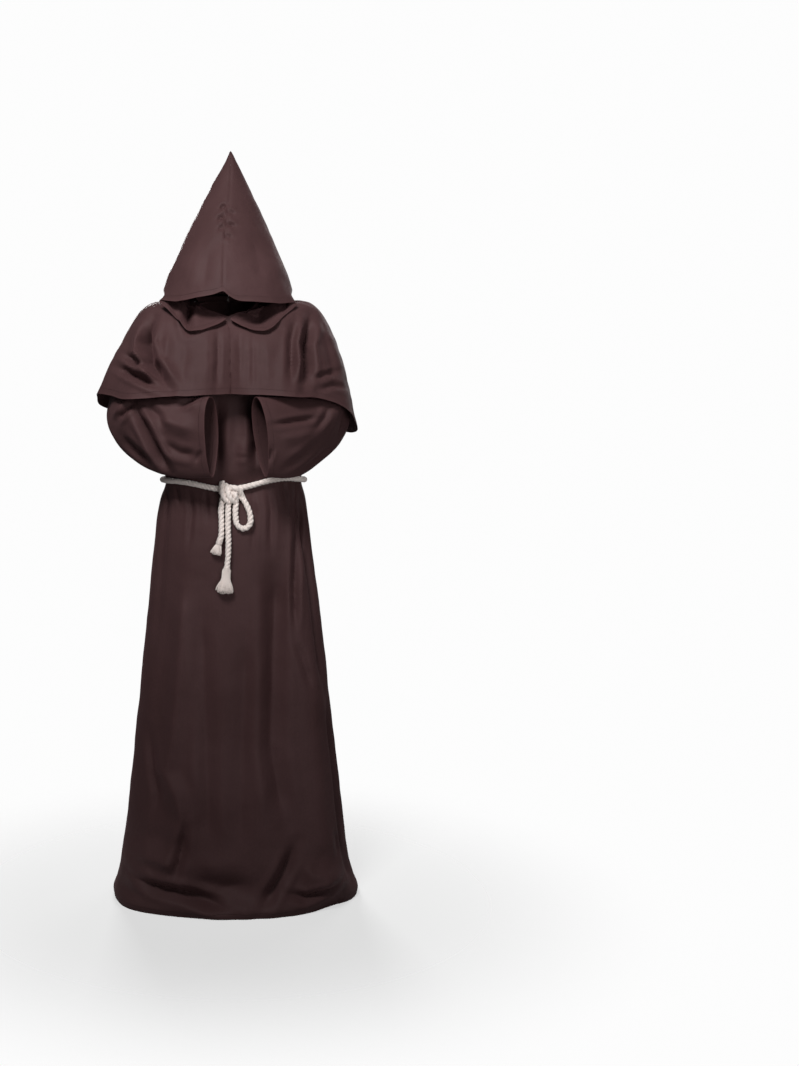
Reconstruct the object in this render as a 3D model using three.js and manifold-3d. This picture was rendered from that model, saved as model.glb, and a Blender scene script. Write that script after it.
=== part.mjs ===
// A hooded monk's habit in its worn form: a floor-length robe with bell sleeves, a shoulder cape with a tall
// pointed hood sewn to its neck, and a cream rope belt that is knotted in front with one loop and two tails.
// Millimetres, +Z up, the front faces -Y. The origin is the middle of the neck, where the habit is carried.
import * as THREE from "three";
import { mergeVertices } from "three/addons/utils/BufferGeometryUtils.js";
import Module from "manifold-3d";

const wasm = await Module();
wasm.setup();

// Driving dimensions
const FLOOR = -1420;
const CLOTH = 2;
const SEAM_GAP = 0.3;
const BELT_HEIGHT = -434;
const BELT_SPREAD = 60;
const ROPE_DIAMETER = 13;
const HOOD_PEAK = 356;
const HOOD_TURN = 20;
const ARMHOLE = { height: -112, half_height: 62, half_depth: 58 };
const ARMHOLE_PLUG = { middle: 210, length: 240, sides: 28 };

// The habit's right lies at -X. The shifts say how far the elbow, the cuff and the cuff's lower tip of each arm
// differ from one table.
const SIDES = [
  { name: "right", sign: -1, elbow_shift: -4, cuff_shift: 13, drop_shift: 0 },
  { name: "left", sign: 1, elbow_shift: -7, cuff_shift: 10, drop_shift: 26 },
];
const DEGREE = Math.PI / 180;

// Colours of the cloth and of the rope
const CLOTH_COLOUR = 0x3d2b2b;
const ROPE_COLOUR = 0xe2d6c8;

// The robe's outline, section by section from the hem up. "across" is half its width, "front" and "back" are
// its depths from the middle, and "lean" is how far the section's middle lies towards the habit's left.
const ROBE_SECTIONS = [
  { height: FLOOR, across: 290, front: 190, back: 188, lean: 12 },
  { height: -1402, across: 293, front: 198, back: 194, lean: 12 },
  { height: -1378, across: 284, front: 188, back: 186, lean: 12 },
  { height: -1335, across: 272, front: 180, back: 178, lean: 11 },
  { height: -1204, across: 255, front: 172, back: 170, lean: 11 },
  { height: -964, across: 229, front: 160, back: 156, lean: 9 },
  { height: -724, across: 204, front: 148, back: 141, lean: 8 },
  { height: -580, across: 187, front: 139, back: 128, lean: 4 },
  { height: -484, across: 174, front: 127, back: 113, lean: 5 },
  { height: -434, across: 162, front: 114, back: 99, lean: 7 },
  { height: -398, across: 174, front: 128, back: 114, lean: 5 },
  { height: -330, across: 177, front: 131, back: 122, lean: 2 },
  { height: -190, across: 170, front: 124, back: 112, lean: -3 },
  { height: -110, across: 180, front: 110, back: 100, lean: -4 },
  { height: -70, across: 180, front: 99, back: 92, lean: -4 },
  { height: -45, across: 168, front: 91, back: 86, lean: -4 },
  { height: -30, across: 140, front: 84, back: 80, lean: -4 },
  { height: -20, across: 104, front: 78, back: 74, lean: -4 },
  { height: -14, across: 74, front: 72, back: 68, lean: -4 },
];
const ROBE_TOP = -14;
const ROBE_YOKE = -75;
const ROBE_SQUARENESS = 0.94;
const ROBE_BELOW_SEAM = 5;
const ROBE_INSIDE_SEAM = 3;

// The knot pulls the belt down in front, and the belt rises again towards the habit's left
const BELT_DIPS = [
  { at: -5, width: 25, depth: 17 },
  { at: 42, width: 26, depth: -7 },
];

// Long folds of the skirt. "belt" and "hem" are where a fold lies there, in degrees from the middle of its
// panel towards the habit's left, "width" is in degrees and "depth" is how far it stands out, or in where it
// is negative.
const FRONT_FOLDS = [
  { belt: -28, hem: -27, width: 11, depth: 7, top: -520, bottom: -1420 },
  { belt: 26, hem: 31, width: 10, depth: -13, top: -560, bottom: -1420 },
  { belt: 48, hem: 50, width: 9, depth: 8, top: -480, bottom: -1420 },
  { belt: 66, hem: 70, width: 6, depth: -13, top: -450, bottom: -1000 },
  { belt: -62, hem: -58, width: 7, depth: -7, top: -450, bottom: -900 },
  { belt: -8, hem: -4, width: 12, depth: -6, top: -900, bottom: -1420 },
  { belt: 78, hem: 76, width: 7, depth: -14, top: -900, bottom: -1420 },
];
const BACK_FOLDS = [
  { belt: 60, hem: 66, width: 6, depth: -11, top: -440, bottom: -800 },
  { belt: 45, hem: 52, width: 8, depth: 7, top: -440, bottom: -1420 },
  { belt: 24, hem: 31, width: 8, depth: -17, top: -440, bottom: -1420 },
  { belt: 6, hem: 10, width: 9, depth: 7, top: -440, bottom: -1420 },
  { belt: -14, hem: -4, width: 7, depth: -7, top: -700, bottom: -1420 },
  { belt: -38, hem: -19, width: 8, depth: -24, top: -440, bottom: -1420 },
  { belt: -54, hem: -44, width: 8, depth: 8, top: -440, bottom: -1420 },
  { belt: -72, hem: -72, width: 6, depth: -11, top: -440, bottom: -1420 },
];
const HEM_CALM = { share: 0.75, top: -1330, bottom: -1415 };
const FOLD_RISE = 130;
const FOLD_FADE = 200;
// Cloth that is bloused over the belt
const BLOUSE = { height: -375, spread: 42 };
const BLOUSE_FOLDS = [
  { at: 12, width: 9, depth: 6, panel: "front" },
  { at: -20, width: 9, depth: 5, panel: "front" },
  { at: 52, width: 8, depth: 8, panel: "back" },
  { at: 22, width: 7, depth: -8, panel: "back" },
  { at: 2, width: 9, depth: 7, panel: "back" },
  { at: -26, width: 8, depth: 8, panel: "back" },
  { at: -44, width: 7, depth: -8, panel: "back" },
  { at: -62, width: 8, depth: 6, panel: "back" },
];
// Lumps where the long hem breaks on the floor
const HEM_BREAKS = [
  { at: -48, panel: "front", width: 15, height: -1352, spread: 26, depth: 16 },
  { at: 46, panel: "front", width: 17, height: -1360, spread: 28, depth: 17 },
  { at: 0, panel: "front", width: 20, height: -1368, spread: 30, depth: -12 },
  { at: -52, panel: "front", width: 17, height: -1416, spread: 22, depth: 13 },
  { at: 52, panel: "front", width: 17, height: -1416, spread: 24, depth: -20 },
  { at: -52, panel: "back", width: 12, height: -1362, spread: 22, depth: 15 },
  { at: 20, panel: "back", width: 14, height: -1366, spread: 22, depth: 8 },
];

// A sleeve of the habit's left side, section by section from the armhole to the cuff. "crook" is the side that
// faces the bend of the elbow and then up, "drop" is the side that hangs down, "width" is half the section's
// third size, and "pinch" is how much narrower its drop side is.
const SLEEVE_SECTIONS = [
  { crook: [176, -58, -112], drop: [176, 58, -112], width: 60, pinch: 0 },
  { crook: [212, -80, -150], drop: [220, 68, -150], width: 50, pinch: 0 },
  { crook: [216, -98, -202], drop: [252, 46, -218], width: 42, pinch: 0 },
  { crook: [208, -108, -234], drop: [278, 8, -294], width: 42, pinch: 0.05 },
  { crook: [194, -126, -240], drop: [260, -38, -344], width: 47, pinch: 0.15 },
  { crook: [170, -144, -238], drop: [214, -84, -389], width: 49, pinch: 0.25 },
  { crook: [138, -164, -237], drop: [164, -128, -414], width: 47, pinch: 0.35 },
  { crook: [98, -186, -238], drop: [112, -168, -423], width: 42, pinch: 0.4 },
  { crook: [54, -210, -238], drop: [50, -206, -419], width: 36, pinch: 0.3 },
];
// Where the sleeve has left its armhole, where the elbow's shift is reached, and where the cuff's shift starts,
// as shares of the sleeve's length
const SLEEVE_JOIN = 0.1;
const ELBOW_REACHED = 0.3;
const CUFF_STARTS = 0.6;
const SLEEVE_LOOK_AHEAD = 0.02;
const UNDERARM_CLEARANCE = 10;
const ROBE_SHOULDER_LEAN = -4;
const SLEEVE_FOLDS = [
  { at: 250, width: 26, depth: -7, centre: 0.44, spread: 0.13 },
  { at: 292, width: 20, depth: 6, centre: 0.52, spread: 0.12 },
  { at: 225, width: 20, depth: -6, centre: 0.64, spread: 0.12 },
  { at: 262, width: 26, depth: 5, centre: 0.78, spread: 0.1 },
  { at: 130, width: 24, depth: -6, centre: 0.5, spread: 0.12 },
  { at: 95, width: 20, depth: 5, centre: 0.7, spread: 0.14 },
];

// The cape, from the middle of its front (0 degrees) over the shoulder to the middle of its back (180). "out"
// is the distance from the neck's middle and "z" is the level, at the shoulder, half way down and at the hem.
const CAPE_SECTIONS = {
  left: [
    { at: 0, shoulder_out: 142, shoulder_z: -98, middle_out: 162, middle_z: -165, hem_out: 178, hem_z: -231 },
    { at: 30, shoulder_out: 164, shoulder_z: -82, middle_out: 204, middle_z: -158, hem_out: 236, hem_z: -236 },
    { at: 60, shoulder_out: 182, shoulder_z: -40, middle_out: 234, middle_z: -134, hem_out: 276, hem_z: -250 },
    { at: 90, shoulder_out: 197, shoulder_z: -15, middle_out: 260, middle_z: -127, hem_out: 304, hem_z: -316 },
    { at: 120, shoulder_out: 166, shoulder_z: -18, middle_out: 224, middle_z: -144, hem_out: 274, hem_z: -318 },
    { at: 150, shoulder_out: 128, shoulder_z: -34, middle_out: 158, middle_z: -170, hem_out: 178, hem_z: -330 },
    { at: 180, shoulder_out: 112, shoulder_z: -42, middle_out: 134, middle_z: -180, hem_out: 154, hem_z: -334 },
  ],
  right: [
    { at: 0, shoulder_out: 142, shoulder_z: -98, middle_out: 162, middle_z: -165, hem_out: 178, hem_z: -231 },
    { at: 30, shoulder_out: 164, shoulder_z: -82, middle_out: 204, middle_z: -158, hem_out: 236, hem_z: -236 },
    { at: 60, shoulder_out: 182, shoulder_z: -44, middle_out: 236, middle_z: -132, hem_out: 284, hem_z: -242 },
    { at: 90, shoulder_out: 200, shoulder_z: -17, middle_out: 267, middle_z: -119, hem_out: 320, hem_z: -230 },
    { at: 120, shoulder_out: 168, shoulder_z: -18, middle_out: 228, middle_z: -140, hem_out: 286, hem_z: -284 },
    { at: 150, shoulder_out: 128, shoulder_z: -34, middle_out: 158, middle_z: -170, hem_out: 180, hem_z: -322 },
    { at: 180, shoulder_out: 112, shoulder_z: -42, middle_out: 134, middle_z: -180, hem_out: 154, hem_z: -334 },
  ],
};
// Waves of the cape, from the neck or shoulder down to the hem, where they stand out most. Degrees from the
// middle of the front, negative towards the habit's right.
const CAPE_WAVES = [
  { top: 178, hem: 166, width: 7, depth: 27 },
  { top: 150, hem: 153, width: 6, depth: -12 },
  { top: 142, hem: 140, width: 7, depth: 26 },
  { top: 124, hem: 124, width: 6, depth: -10 },
  { top: 110, hem: 110, width: 8, depth: 18 },
  { top: 74, hem: 70, width: 8, depth: 7 },
  { top: 52, hem: 50, width: 7, depth: -8 },
  { top: 36, hem: 34, width: 8, depth: 6 },
  { top: 10, hem: 11, width: 7, depth: 5 },
  { top: -20, hem: -22, width: 8, depth: 6 },
  { top: -50, hem: -54, width: 7, depth: 8 },
  { top: -66, hem: -72, width: 8, depth: -9 },
  { top: -102, hem: -104, width: 8, depth: 18 },
  { top: -118, hem: -119, width: 6, depth: -12 },
  { top: -134, hem: -134, width: 7, depth: 25 },
  { top: -146, hem: -147, width: 5, depth: -11 },
  { top: -160, hem: -161, width: 7, depth: 24 },
  { top: -172, hem: -175, width: 5, depth: -12 },
];
const CAPE_CENTRE = -5;
const CAPE_LEVELS = { shoulder: 0.3, middle: 0.62, hem: 1 };
const CAPE_BELOW_SEAM = 1.6;
// The waves start this share of the way down, grow by this power, and lower the hem by this share of their depth
const WAVE_START = 0.12;
const WAVE_GROWTH = 1.2;
const WAVE_DROP = 0.18;

// The seam between the hood and the cape, from the middle of the front round to the middle of the back
const NECK_SEAM = [
  { at: 0, across: 0, deep: -122, height: -61 },
  { at: 40, across: 56, deep: -88, height: -38 },
  { at: 90, across: 80, deep: -10, height: -9 },
  { at: 135, across: 56, deep: 52, height: 2 },
  { at: 180, across: 0, deep: 76, height: 5 },
];

// The hood's pointed part, level by level from the peak down: half its width, its front and back seams and the
// place of its widest point
const HOOD_RINGS = [
  { height: HOOD_PEAK, across: 2.5, front: 9, back: 15, middle: 12 },
  { height: 330, across: 14, front: -4, back: 26, middle: 11 },
  { height: 275, across: 42, front: -38, back: 52, middle: 6 },
  { height: 198, across: 79, front: -86, back: 82, middle: -6 },
  { height: 121, across: 112, front: -128, back: 101, middle: -20 },
  { height: 60, across: 140, front: -160, back: 107, middle: -30 },
  { height: HOOD_TURN, across: 153, front: -176, back: 101, middle: -36 },
];
const HOOD_LEAN = -6;
// The hood's front seam runs towards the habit's right on its way down to the face edge
const SEAM_LEAN = { shift: -11, reach: 70, front_from: 30, front_to: 150, bottom: -45, top: 0 };
const HOOD_ROUNDNESS = 1.12;
// The turn at the face edge and the neck takes the last part of each line down from the peak. It keeps the
// direction that the line has over the lead above it.
const HOOD_TURN_AT = 0.72;
const HOOD_TURN_LEAD = 20;
const HOOD_TURN_REACH = 22;
const HOOD_TURN_SHARE = 0.4;
// Where each line down from the peak ends: first on the face edge, which turns back at its corner and lies
// over the cape's front as a soft collar, then on the neck seam. The face edge hangs lower on the habit's left.
const HOOD_ENDS = [
  { ring: 0, x: 0, y: -184, right_z: 3, left_z: 3 },
  { ring: 8, x: 26, y: -182, right_z: -5, left_z: -18 },
  { ring: 24, x: 66, y: -172, right_z: -11, left_z: -21 },
  { ring: 44, x: 116, y: -138, right_z: -17, left_z: -22 },
  { ring: 66, x: 160, y: -86, right_z: -12, left_z: -18 },
  { ring: 76, x: 134, y: -122, right_z: -41, left_z: -47 },
  { ring: 86, x: 84, y: -166, right_z: -88, left_z: -88 },
  { ring: 94, x: 6, y: -134, right_z: -60, left_z: -60 },
  { ring: 108, x: 56, y: -88, right_z: -38, left_z: -38 },
  { ring: 128, x: 80, y: -10, right_z: -9, left_z: -9 },
  { ring: 155, x: 56, y: 52, right_z: 2, left_z: 2 },
  { ring: 180, x: 0, y: 76, right_z: 5, left_z: 5 },
];

// The rope's free stretches below the knot, as their centre lines
const KNOT = { x: -2, z: -460, half_width: 21, half_height: 21, half_depth: 13 };
const KNOT_WRAPS = [
  { tilt: 24, drop: -3 },
  { tilt: -30, drop: 4 },
];
const WRAP = { radius: 0.85, thickness: 0.3, width: 1.6 };
const KNOT_BEHIND = 1.15;
const ROPE_REST = 1.2;
const BELT_TURN = { from: 2, to: 358 };
const LOOP_ROUTE = [
  [14, -461], [27, -471], [37, -487], [45, -507], [46, -524], [40, -536], [29, -540], [18, -533], [12, -517],
  [11, -498], [12, -484], [10.5, -472],
];
const LOOP_FORWARD = 1.5;
const TAILS = [
  {
    name: "tail_short",
    route: [[-16, -466], [-20, -482], [-22, -500], [-21, -522], [-21, -542], [-22, -558], [-26, -571]],
    forward: 4,
    stretches: 12,
    length: 22,
    spread: 24,
    strands: 16,
  },
  {
    name: "tail_long",
    route: [[-3, -468], [-5, -484], [-6, -505], [-6, -535], [-5, -570], [-6, -605], [-9, -634]],
    forward: 4,
    stretches: 16,
    length: 46,
    spread: 34,
    strands: 21,
  },
];
const TASSEL_HEAD = 9;
const TASSEL_HEAD_LENGTH = 0.9;
const TASSEL_NECK = 1.45;
const TASSEL_FLATNESS = 0.5;
// Every third strand is an inner one. Roots are shares of the head's radius, tips of the tassel's spread.
const STRAND_RINGS = { inner: { root: 0.28, tip: 0.2 }, outer: { root: 0.66, tip: 0.5 } };
const STRAND = { root: 1.5, tip: 1.1, shortest: 0.8, unevenness: 2.3 };
const GOLDEN_TURN = 2.39996;

// A column of a table at any value of its key column, on one smooth curve through the rows
function along(rows, key, at, column) {
  const rising = rows[rows.length - 1][key] > rows[0][key];
  const past = (i) => (rising ? rows[i][key] > at : rows[i][key] < at);
  let i = 0;
  while (i < rows.length - 2 && !past(i + 1)) i += 1;
  const slope = (k) => {
    const low = rows[Math.max(k - 1, 0)];
    const high = rows[Math.min(k + 1, rows.length - 1)];
    return (high[column] - low[column]) / (high[key] - low[key]);
  };
  const span = rows[i + 1][key] - rows[i][key];
  const t = THREE.MathUtils.clamp((at - rows[i][key]) / span, 0, 1);
  const keep = 2 * t ** 3 - 3 * t ** 2 + 1;
  return (
    keep * rows[i][column] +
    (1 - keep) * rows[i + 1][column] +
    (t ** 3 - 2 * t ** 2 + t) * span * slope(i) +
    (t ** 3 - t ** 2) * span * slope(i + 1)
  );
}

const bump = (distance, width) => Math.exp(-((distance / width) ** 2));
const power = (x, p) => Math.sign(x) * Math.abs(x) ** p;
const steps = (from, to, count) =>
  Array.from({ length: count + 1 }, (_, i) => from + ((to - from) * i) / count);

// A wall of cloth whose outer side is surface(u, v), with its thickness on the inner side. "pole" says that
// the first row is one point, "closed" that the last column meets the first, and "half" is the sign of the
// side that a half keeps to.
function clothWall(surface, us, vs, { turn = 1, closed = false, pole = false, trim = 0, half = 0 } = {}) {
  const columns = us.length - (closed ? 1 : 0);
  const normal = (u, v) => {
    const step = 1e-3;
    const alongU = surface(u + step, v).sub(surface(u - step, v));
    const alongV = surface(u, v + step).sub(surface(u, v - step));
    return alongU.cross(alongV).normalize().multiplyScalar(turn);
  };
  const points = [];
  for (const v of vs)
    for (let c = 0; c < columns; c += 1) {
      const outer = surface(us[c], v);
      const out = normal(us[c], v);
      if (trim && !closed && (c === 0 || c === columns - 1)) {
        const inwards = surface(us[c === 0 ? 1 : c - 1], v).sub(outer).setLength(trim);
        outer.add(inwards);
      }
      const inner = outer.clone().addScaledVector(out, -CLOTH);
      if (half) for (const point of [outer, inner]) point.x = half * Math.max(half * point.x, SEAM_GAP / 2);
      points.push(outer, inner);
    }
  const index = (r, c, side) => (pole && r === 0 ? side : 2 * (r * columns + (c % columns)) + side);
  const faces = [];
  const quad = (a, b, c, d) => {
    for (const face of [[a, b, c], [a, c, d]])
      if (new Set(face).size === 3) faces.push(...(turn > 0 ? face : [face[0], face[2], face[1]]));
  };
  const lastRow = vs.length - 1;
  const spans = closed ? columns : columns - 1;
  for (let r = 0; r < lastRow; r += 1)
    for (let c = 0; c < spans; c += 1) {
      quad(index(r, c, 0), index(r, c + 1, 0), index(r + 1, c + 1, 0), index(r + 1, c, 0));
      quad(index(r, c, 1), index(r + 1, c, 1), index(r + 1, c + 1, 1), index(r, c + 1, 1));
    }
  for (let c = 0; c < spans; c += 1) {
    if (!pole) quad(index(0, c, 0), index(0, c, 1), index(0, c + 1, 1), index(0, c + 1, 0));
    quad(index(lastRow, c, 0), index(lastRow, c + 1, 0), index(lastRow, c + 1, 1), index(lastRow, c, 1));
  }
  if (!closed)
    for (let r = 0; r < lastRow; r += 1) {
      quad(index(r, 0, 0), index(r + 1, 0, 0), index(r + 1, 0, 1), index(r, 0, 1));
      const c = columns - 1;
      quad(index(r, c, 0), index(r, c, 1), index(r + 1, c, 1), index(r + 1, c, 0));
    }
  return bodyOf(points, faces);
}

function bodyOf(points, faces) {
  const used = [...new Set(faces)];
  const place = new Map(used.map((old, i) => [old, i]));
  const geometry = new THREE.BufferGeometry();
  const places = used.flatMap((i) => points[i].toArray());
  geometry.setAttribute("position", new THREE.Float32BufferAttribute(places, 3));
  geometry.setIndex(faces.map((i) => place.get(i)));
  geometry.computeVertexNormals();
  return geometry;
}

const group = new THREE.Group();
const material = (color, roughness) => new THREE.MeshStandardMaterial({ color, roughness, metalness: 0 });
const clothMaterial = material(CLOTH_COLOUR, 0.6);
const ropeMaterial = material(ROPE_COLOUR, 0.95);
function add(name, geometry, look) {
  const mesh = new THREE.Mesh(geometry, look);
  mesh.name = name;
  group.add(mesh);
}

// Booleans on closed meshes
function solidOf(geometry) {
  const bare = geometry.clone();
  for (const name of Object.keys(bare.attributes)) if (name !== "position") bare.deleteAttribute(name);
  const merged = mergeVertices(bare, 1e-4);
  return new wasm.Manifold(
    new wasm.Mesh({
      numProp: 3,
      vertProperties: merged.attributes.position.array,
      triVerts: new Uint32Array(merged.index.array),
    }),
  );
}
function geometryOf(solid) {
  const mesh = solid.getMesh();
  const geometry = new THREE.BufferGeometry();
  geometry.setAttribute("position", new THREE.BufferAttribute(new Float32Array(mesh.vertProperties), 3));
  geometry.setIndex(new THREE.BufferAttribute(new Uint32Array(mesh.triVerts), 1));
  geometry.computeVertexNormals();
  return geometry;
}

function beltDip(degrees, height) {
  let dip = 0;
  for (const { at, width, depth } of BELT_DIPS) dip += depth * bump(degrees - at, width);
  return dip * bump(height - BELT_HEIGHT, BELT_SPREAD);
}

// Robe. Angle 0 is the middle of a panel and 90 the side seam of the habit's left.
function robePoint(panel, degrees, height) {
  const angle = degrees * DEGREE;
  const facing = panel === "front" ? -1 : 1;
  const row = (column) => along(ROBE_SECTIONS, "height", height, column);
  const nearNeck = THREE.MathUtils.smoothstep(height, ROBE_YOKE, ROBE_TOP);
  let out = 0;
  for (const fold of panel === "front" ? FRONT_FOLDS : BACK_FOLDS) {
    const down = THREE.MathUtils.clamp((BELT_HEIGHT - height) / (BELT_HEIGHT - FLOOR), 0, 1);
    const at = fold.belt + (fold.hem - fold.belt) * down;
    const fadeIn = THREE.MathUtils.smoothstep(-height, -fold.top, -fold.top + FOLD_RISE);
    const below = fold.bottom <= FLOOR ? FOLD_FADE : 0;
    const fadeOut = THREE.MathUtils.smoothstep(height, fold.bottom - below, fold.bottom + FOLD_FADE);
    const calm = 1 - HEM_CALM.share * THREE.MathUtils.smoothstep(-height, -HEM_CALM.top, -HEM_CALM.bottom);
    out += fold.depth * bump(degrees - at, fold.width) * fadeIn * fadeOut * calm;
  }
  for (const fold of BLOUSE_FOLDS)
    if (fold.panel === panel)
      out += fold.depth * bump(degrees - fold.at, fold.width) * bump(height - BLOUSE.height, BLOUSE.spread);
  for (const lump of HEM_BREAKS)
    if (lump.panel === panel)
      out += lump.depth * bump(degrees - lump.at, lump.width) * bump(height - lump.height, lump.spread);
  const across = row("across") + out;
  const deep = row(panel) + out;
  const z = height - (panel === "front" ? beltDip(degrees, height) : 0);
  const point = new THREE.Vector3(
    row("lean") + across * power(Math.sin(angle), ROBE_SQUARENESS),
    facing * deep * power(Math.cos(angle), ROBE_SQUARENESS),
    z,
  );
  const seam = neckSeam(panel === "front" ? Math.abs(degrees) : 180 - Math.abs(degrees));
  seam.x *= Math.sign(degrees);
  seam.setLength(seam.length() - ROBE_INSIDE_SEAM);
  seam.z -= ROBE_BELOW_SEAM;
  return point.lerp(seam, nearNeck);
}
const ROBE_LEVELS = [
  FLOOR, -1398, -1370, -1330, -1260, -1140, -1000, -850, -710, -600, -530, -484, -454, -434, -416, -396,
  -362, -300, -210, -120, -75, -48, -30, ROBE_TOP,
];
// The armholes are cut square to the sides
function armholePlug(sign) {
  const plug = new THREE.CylinderGeometry(1, 1, ARMHOLE_PLUG.length, ARMHOLE_PLUG.sides);
  plug.rotateZ(Math.PI / 2);
  plug.scale(1, ARMHOLE.half_depth + SEAM_GAP, ARMHOLE.half_height + SEAM_GAP);
  plug.translate(sign * ARMHOLE_PLUG.middle, 0, ARMHOLE.height);
  return solidOf(plug);
}
for (const [panel, count] of [["front", 26], ["back", 32]]) {
  const facing = panel === "front" ? 1 : -1;
  const surface = (u, v) => robePoint(panel, u, v);
  const wall = clothWall(surface, steps(-90, 90, count), ROBE_LEVELS, { turn: facing, trim: SEAM_GAP / 2 });
  let robe = solidOf(wall);
  for (const { sign } of SIDES) robe = robe.subtract(armholePlug(sign));
  add("robe_" + panel, geometryOf(robe), clothMaterial);
}

// Sleeves. Each ring starts at its crook side and turns outwards, to the front of the arm.
function robeSideAt(y, z) {
  const deep = along(ROBE_SECTIONS, "height", z, y < 0 ? "front" : "back");
  const cosine = Math.min(1, Math.abs(y) / deep) ** (1 / ROBE_SQUARENESS);
  return along(ROBE_SECTIONS, "height", z, "across") * (1 - cosine ** 2) ** (ROBE_SQUARENESS / 2);
}
function armholeRing(turnDegrees) {
  const y = -ARMHOLE.half_depth * Math.cos(turnDegrees * DEGREE);
  const z = ARMHOLE.height + ARMHOLE.half_height * Math.sin(turnDegrees * DEGREE);
  return new THREE.Vector3(robeSideAt(y, z), y, z);
}
const SLEEVE_ROWS = SLEEVE_SECTIONS.map((row, i) => ({
  at: i / (SLEEVE_SECTIONS.length - 1),
  cx: row.crook[0], cy: row.crook[1], cz: row.crook[2],
  dx: row.drop[0], dy: row.drop[1], dz: row.drop[2],
  width: row.width,
  pinch: row.pinch,
}));
function sleeveSection(v) {
  const value = (column) => along(SLEEVE_ROWS, "at", v, column);
  const crook = new THREE.Vector3(value("cx"), value("cy"), value("cz"));
  const drop = new THREE.Vector3(value("dx"), value("dy"), value("dz"));
  const middle = crook.clone().add(drop).multiplyScalar(0.5);
  return { crook, drop, middle, width: value("width"), pinch: value("pinch") };
}
function sleevePoint(side, degrees, v) {
  const at = THREE.MathUtils.clamp(v, 0, 1);
  const section = sleeveSection(at);
  const after = sleeveSection(Math.min(at + SLEEVE_LOOK_AHEAD, 1));
  const before = sleeveSection(Math.max(at - SLEEVE_LOOK_AHEAD, 0));
  const reach = section.crook.clone().sub(section.drop).multiplyScalar(0.5);
  const across = after.middle.sub(before.middle).cross(reach).normalize().multiplyScalar(-1);
  const cosine = Math.cos(degrees * DEGREE);
  const sine = Math.sin(degrees * DEGREE);
  let out = 0;
  for (const fold of SLEEVE_FOLDS) {
    const away = ((degrees - (360 - fold.at) + 540) % 360) - 180;
    out += fold.depth * bump(away, fold.width) * bump(v - fold.centre, fold.spread);
  }
  const narrow = 1 - (section.pinch * (1 - cosine)) / 2;
  const point = section.middle
    .clone()
    .addScaledVector(reach, cosine * (1 + out / reach.length()))
    .addScaledVector(across, sine * (section.width * narrow + out));
  const elbow = THREE.MathUtils.smoothstep(v, 0, ELBOW_REACHED);
  const cuff = THREE.MathUtils.smoothstep(v, CUFF_STARTS, 1);
  const joined = THREE.MathUtils.smoothstep(v, 0, SLEEVE_JOIN);
  point.lerpVectors(armholeRing(degrees), point, joined);
  const clearance = 2 * SEAM_GAP + UNDERARM_CLEARANCE * joined;
  point.x = Math.max(point.x, robeSideAt(point.y, point.z) + clearance);
  const shift = THREE.MathUtils.lerp(ROBE_SHOULDER_LEAN, side.elbow_shift, elbow);
  const cuffShift = side.cuff_shift + (side.drop_shift * (1 - cosine)) / 2;
  point.x = side.sign * point.x + shift + cuffShift * cuff;
  return point;
}
for (const side of SIDES) {
  const surface = (u, v) => sleevePoint(side, u, v);
  const rows = [0, 0.025, 0.055, 0.1, 0.16, 0.23, 0.31, 0.38, 0.45, 0.52, 0.59, 0.66, 0.74, 0.82, 0.91, 1];
  const sleeve = clothWall(surface, steps(0, 360, 16), rows, { turn: -side.sign, closed: true });
  add("sleeve_" + side.name, sleeve, clothMaterial);
}

// Cape. One half for each side, from the front seam over the shoulder to the back seam.
function neckSeam(degrees) {
  const value = (column) => along(NECK_SEAM, "at", degrees, column);
  return new THREE.Vector3(value("across"), value("deep"), value("height"));
}
function capePoint(name, sign, degrees, t) {
  const value = (column) => along(CAPE_SECTIONS[name], "at", degrees, column);
  const radial = new THREE.Vector3(Math.sin(degrees * DEGREE), -Math.cos(degrees * DEGREE), 0);
  const place = (reach, height) => new THREE.Vector3(0, CAPE_CENTRE, height).addScaledVector(radial, reach);
  const seam = neckSeam(degrees).add(new THREE.Vector3(0, 0, -CAPE_BELOW_SEAM));
  const knots = [
    { at: 0, x: seam.x, y: seam.y, z: seam.z },
    ...Object.entries(CAPE_LEVELS).map(([level, at]) => {
      const { x, y, z } = place(value(level + "_out"), value(level + "_z"));
      return { at, x, y, z };
    }),
  ];
  const point = new THREE.Vector3(...["x", "y", "z"].map((column) => along(knots, "at", t, column)));
  let out = 0;
  for (const wave of CAPE_WAVES) {
    const away = sign * degrees - (wave.top + (wave.hem - wave.top) * t);
    const turned = ((away + 540) % 360) - 180;
    out += wave.depth * bump(turned, wave.width) * THREE.MathUtils.smoothstep(t, WAVE_START, 1) ** WAVE_GROWTH;
  }
  point.addScaledVector(radial, out);
  point.x = sign * Math.max(point.x, 0);
  point.z -= WAVE_DROP * out;
  return point;
}
for (const { name, sign } of SIDES) {
  const surface = (u, v) => capePoint(name, sign, u, v);
  const rows = [0, 0.12, 0.22, 0.3, 0.38, 0.5, 0.64, 0.78, 0.9, 1];
  const cape = clothWall(surface, steps(0, 180, 34), rows, { turn: -sign, half: sign });
  add("cape_" + name, cape, clothMaterial);
}

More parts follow.
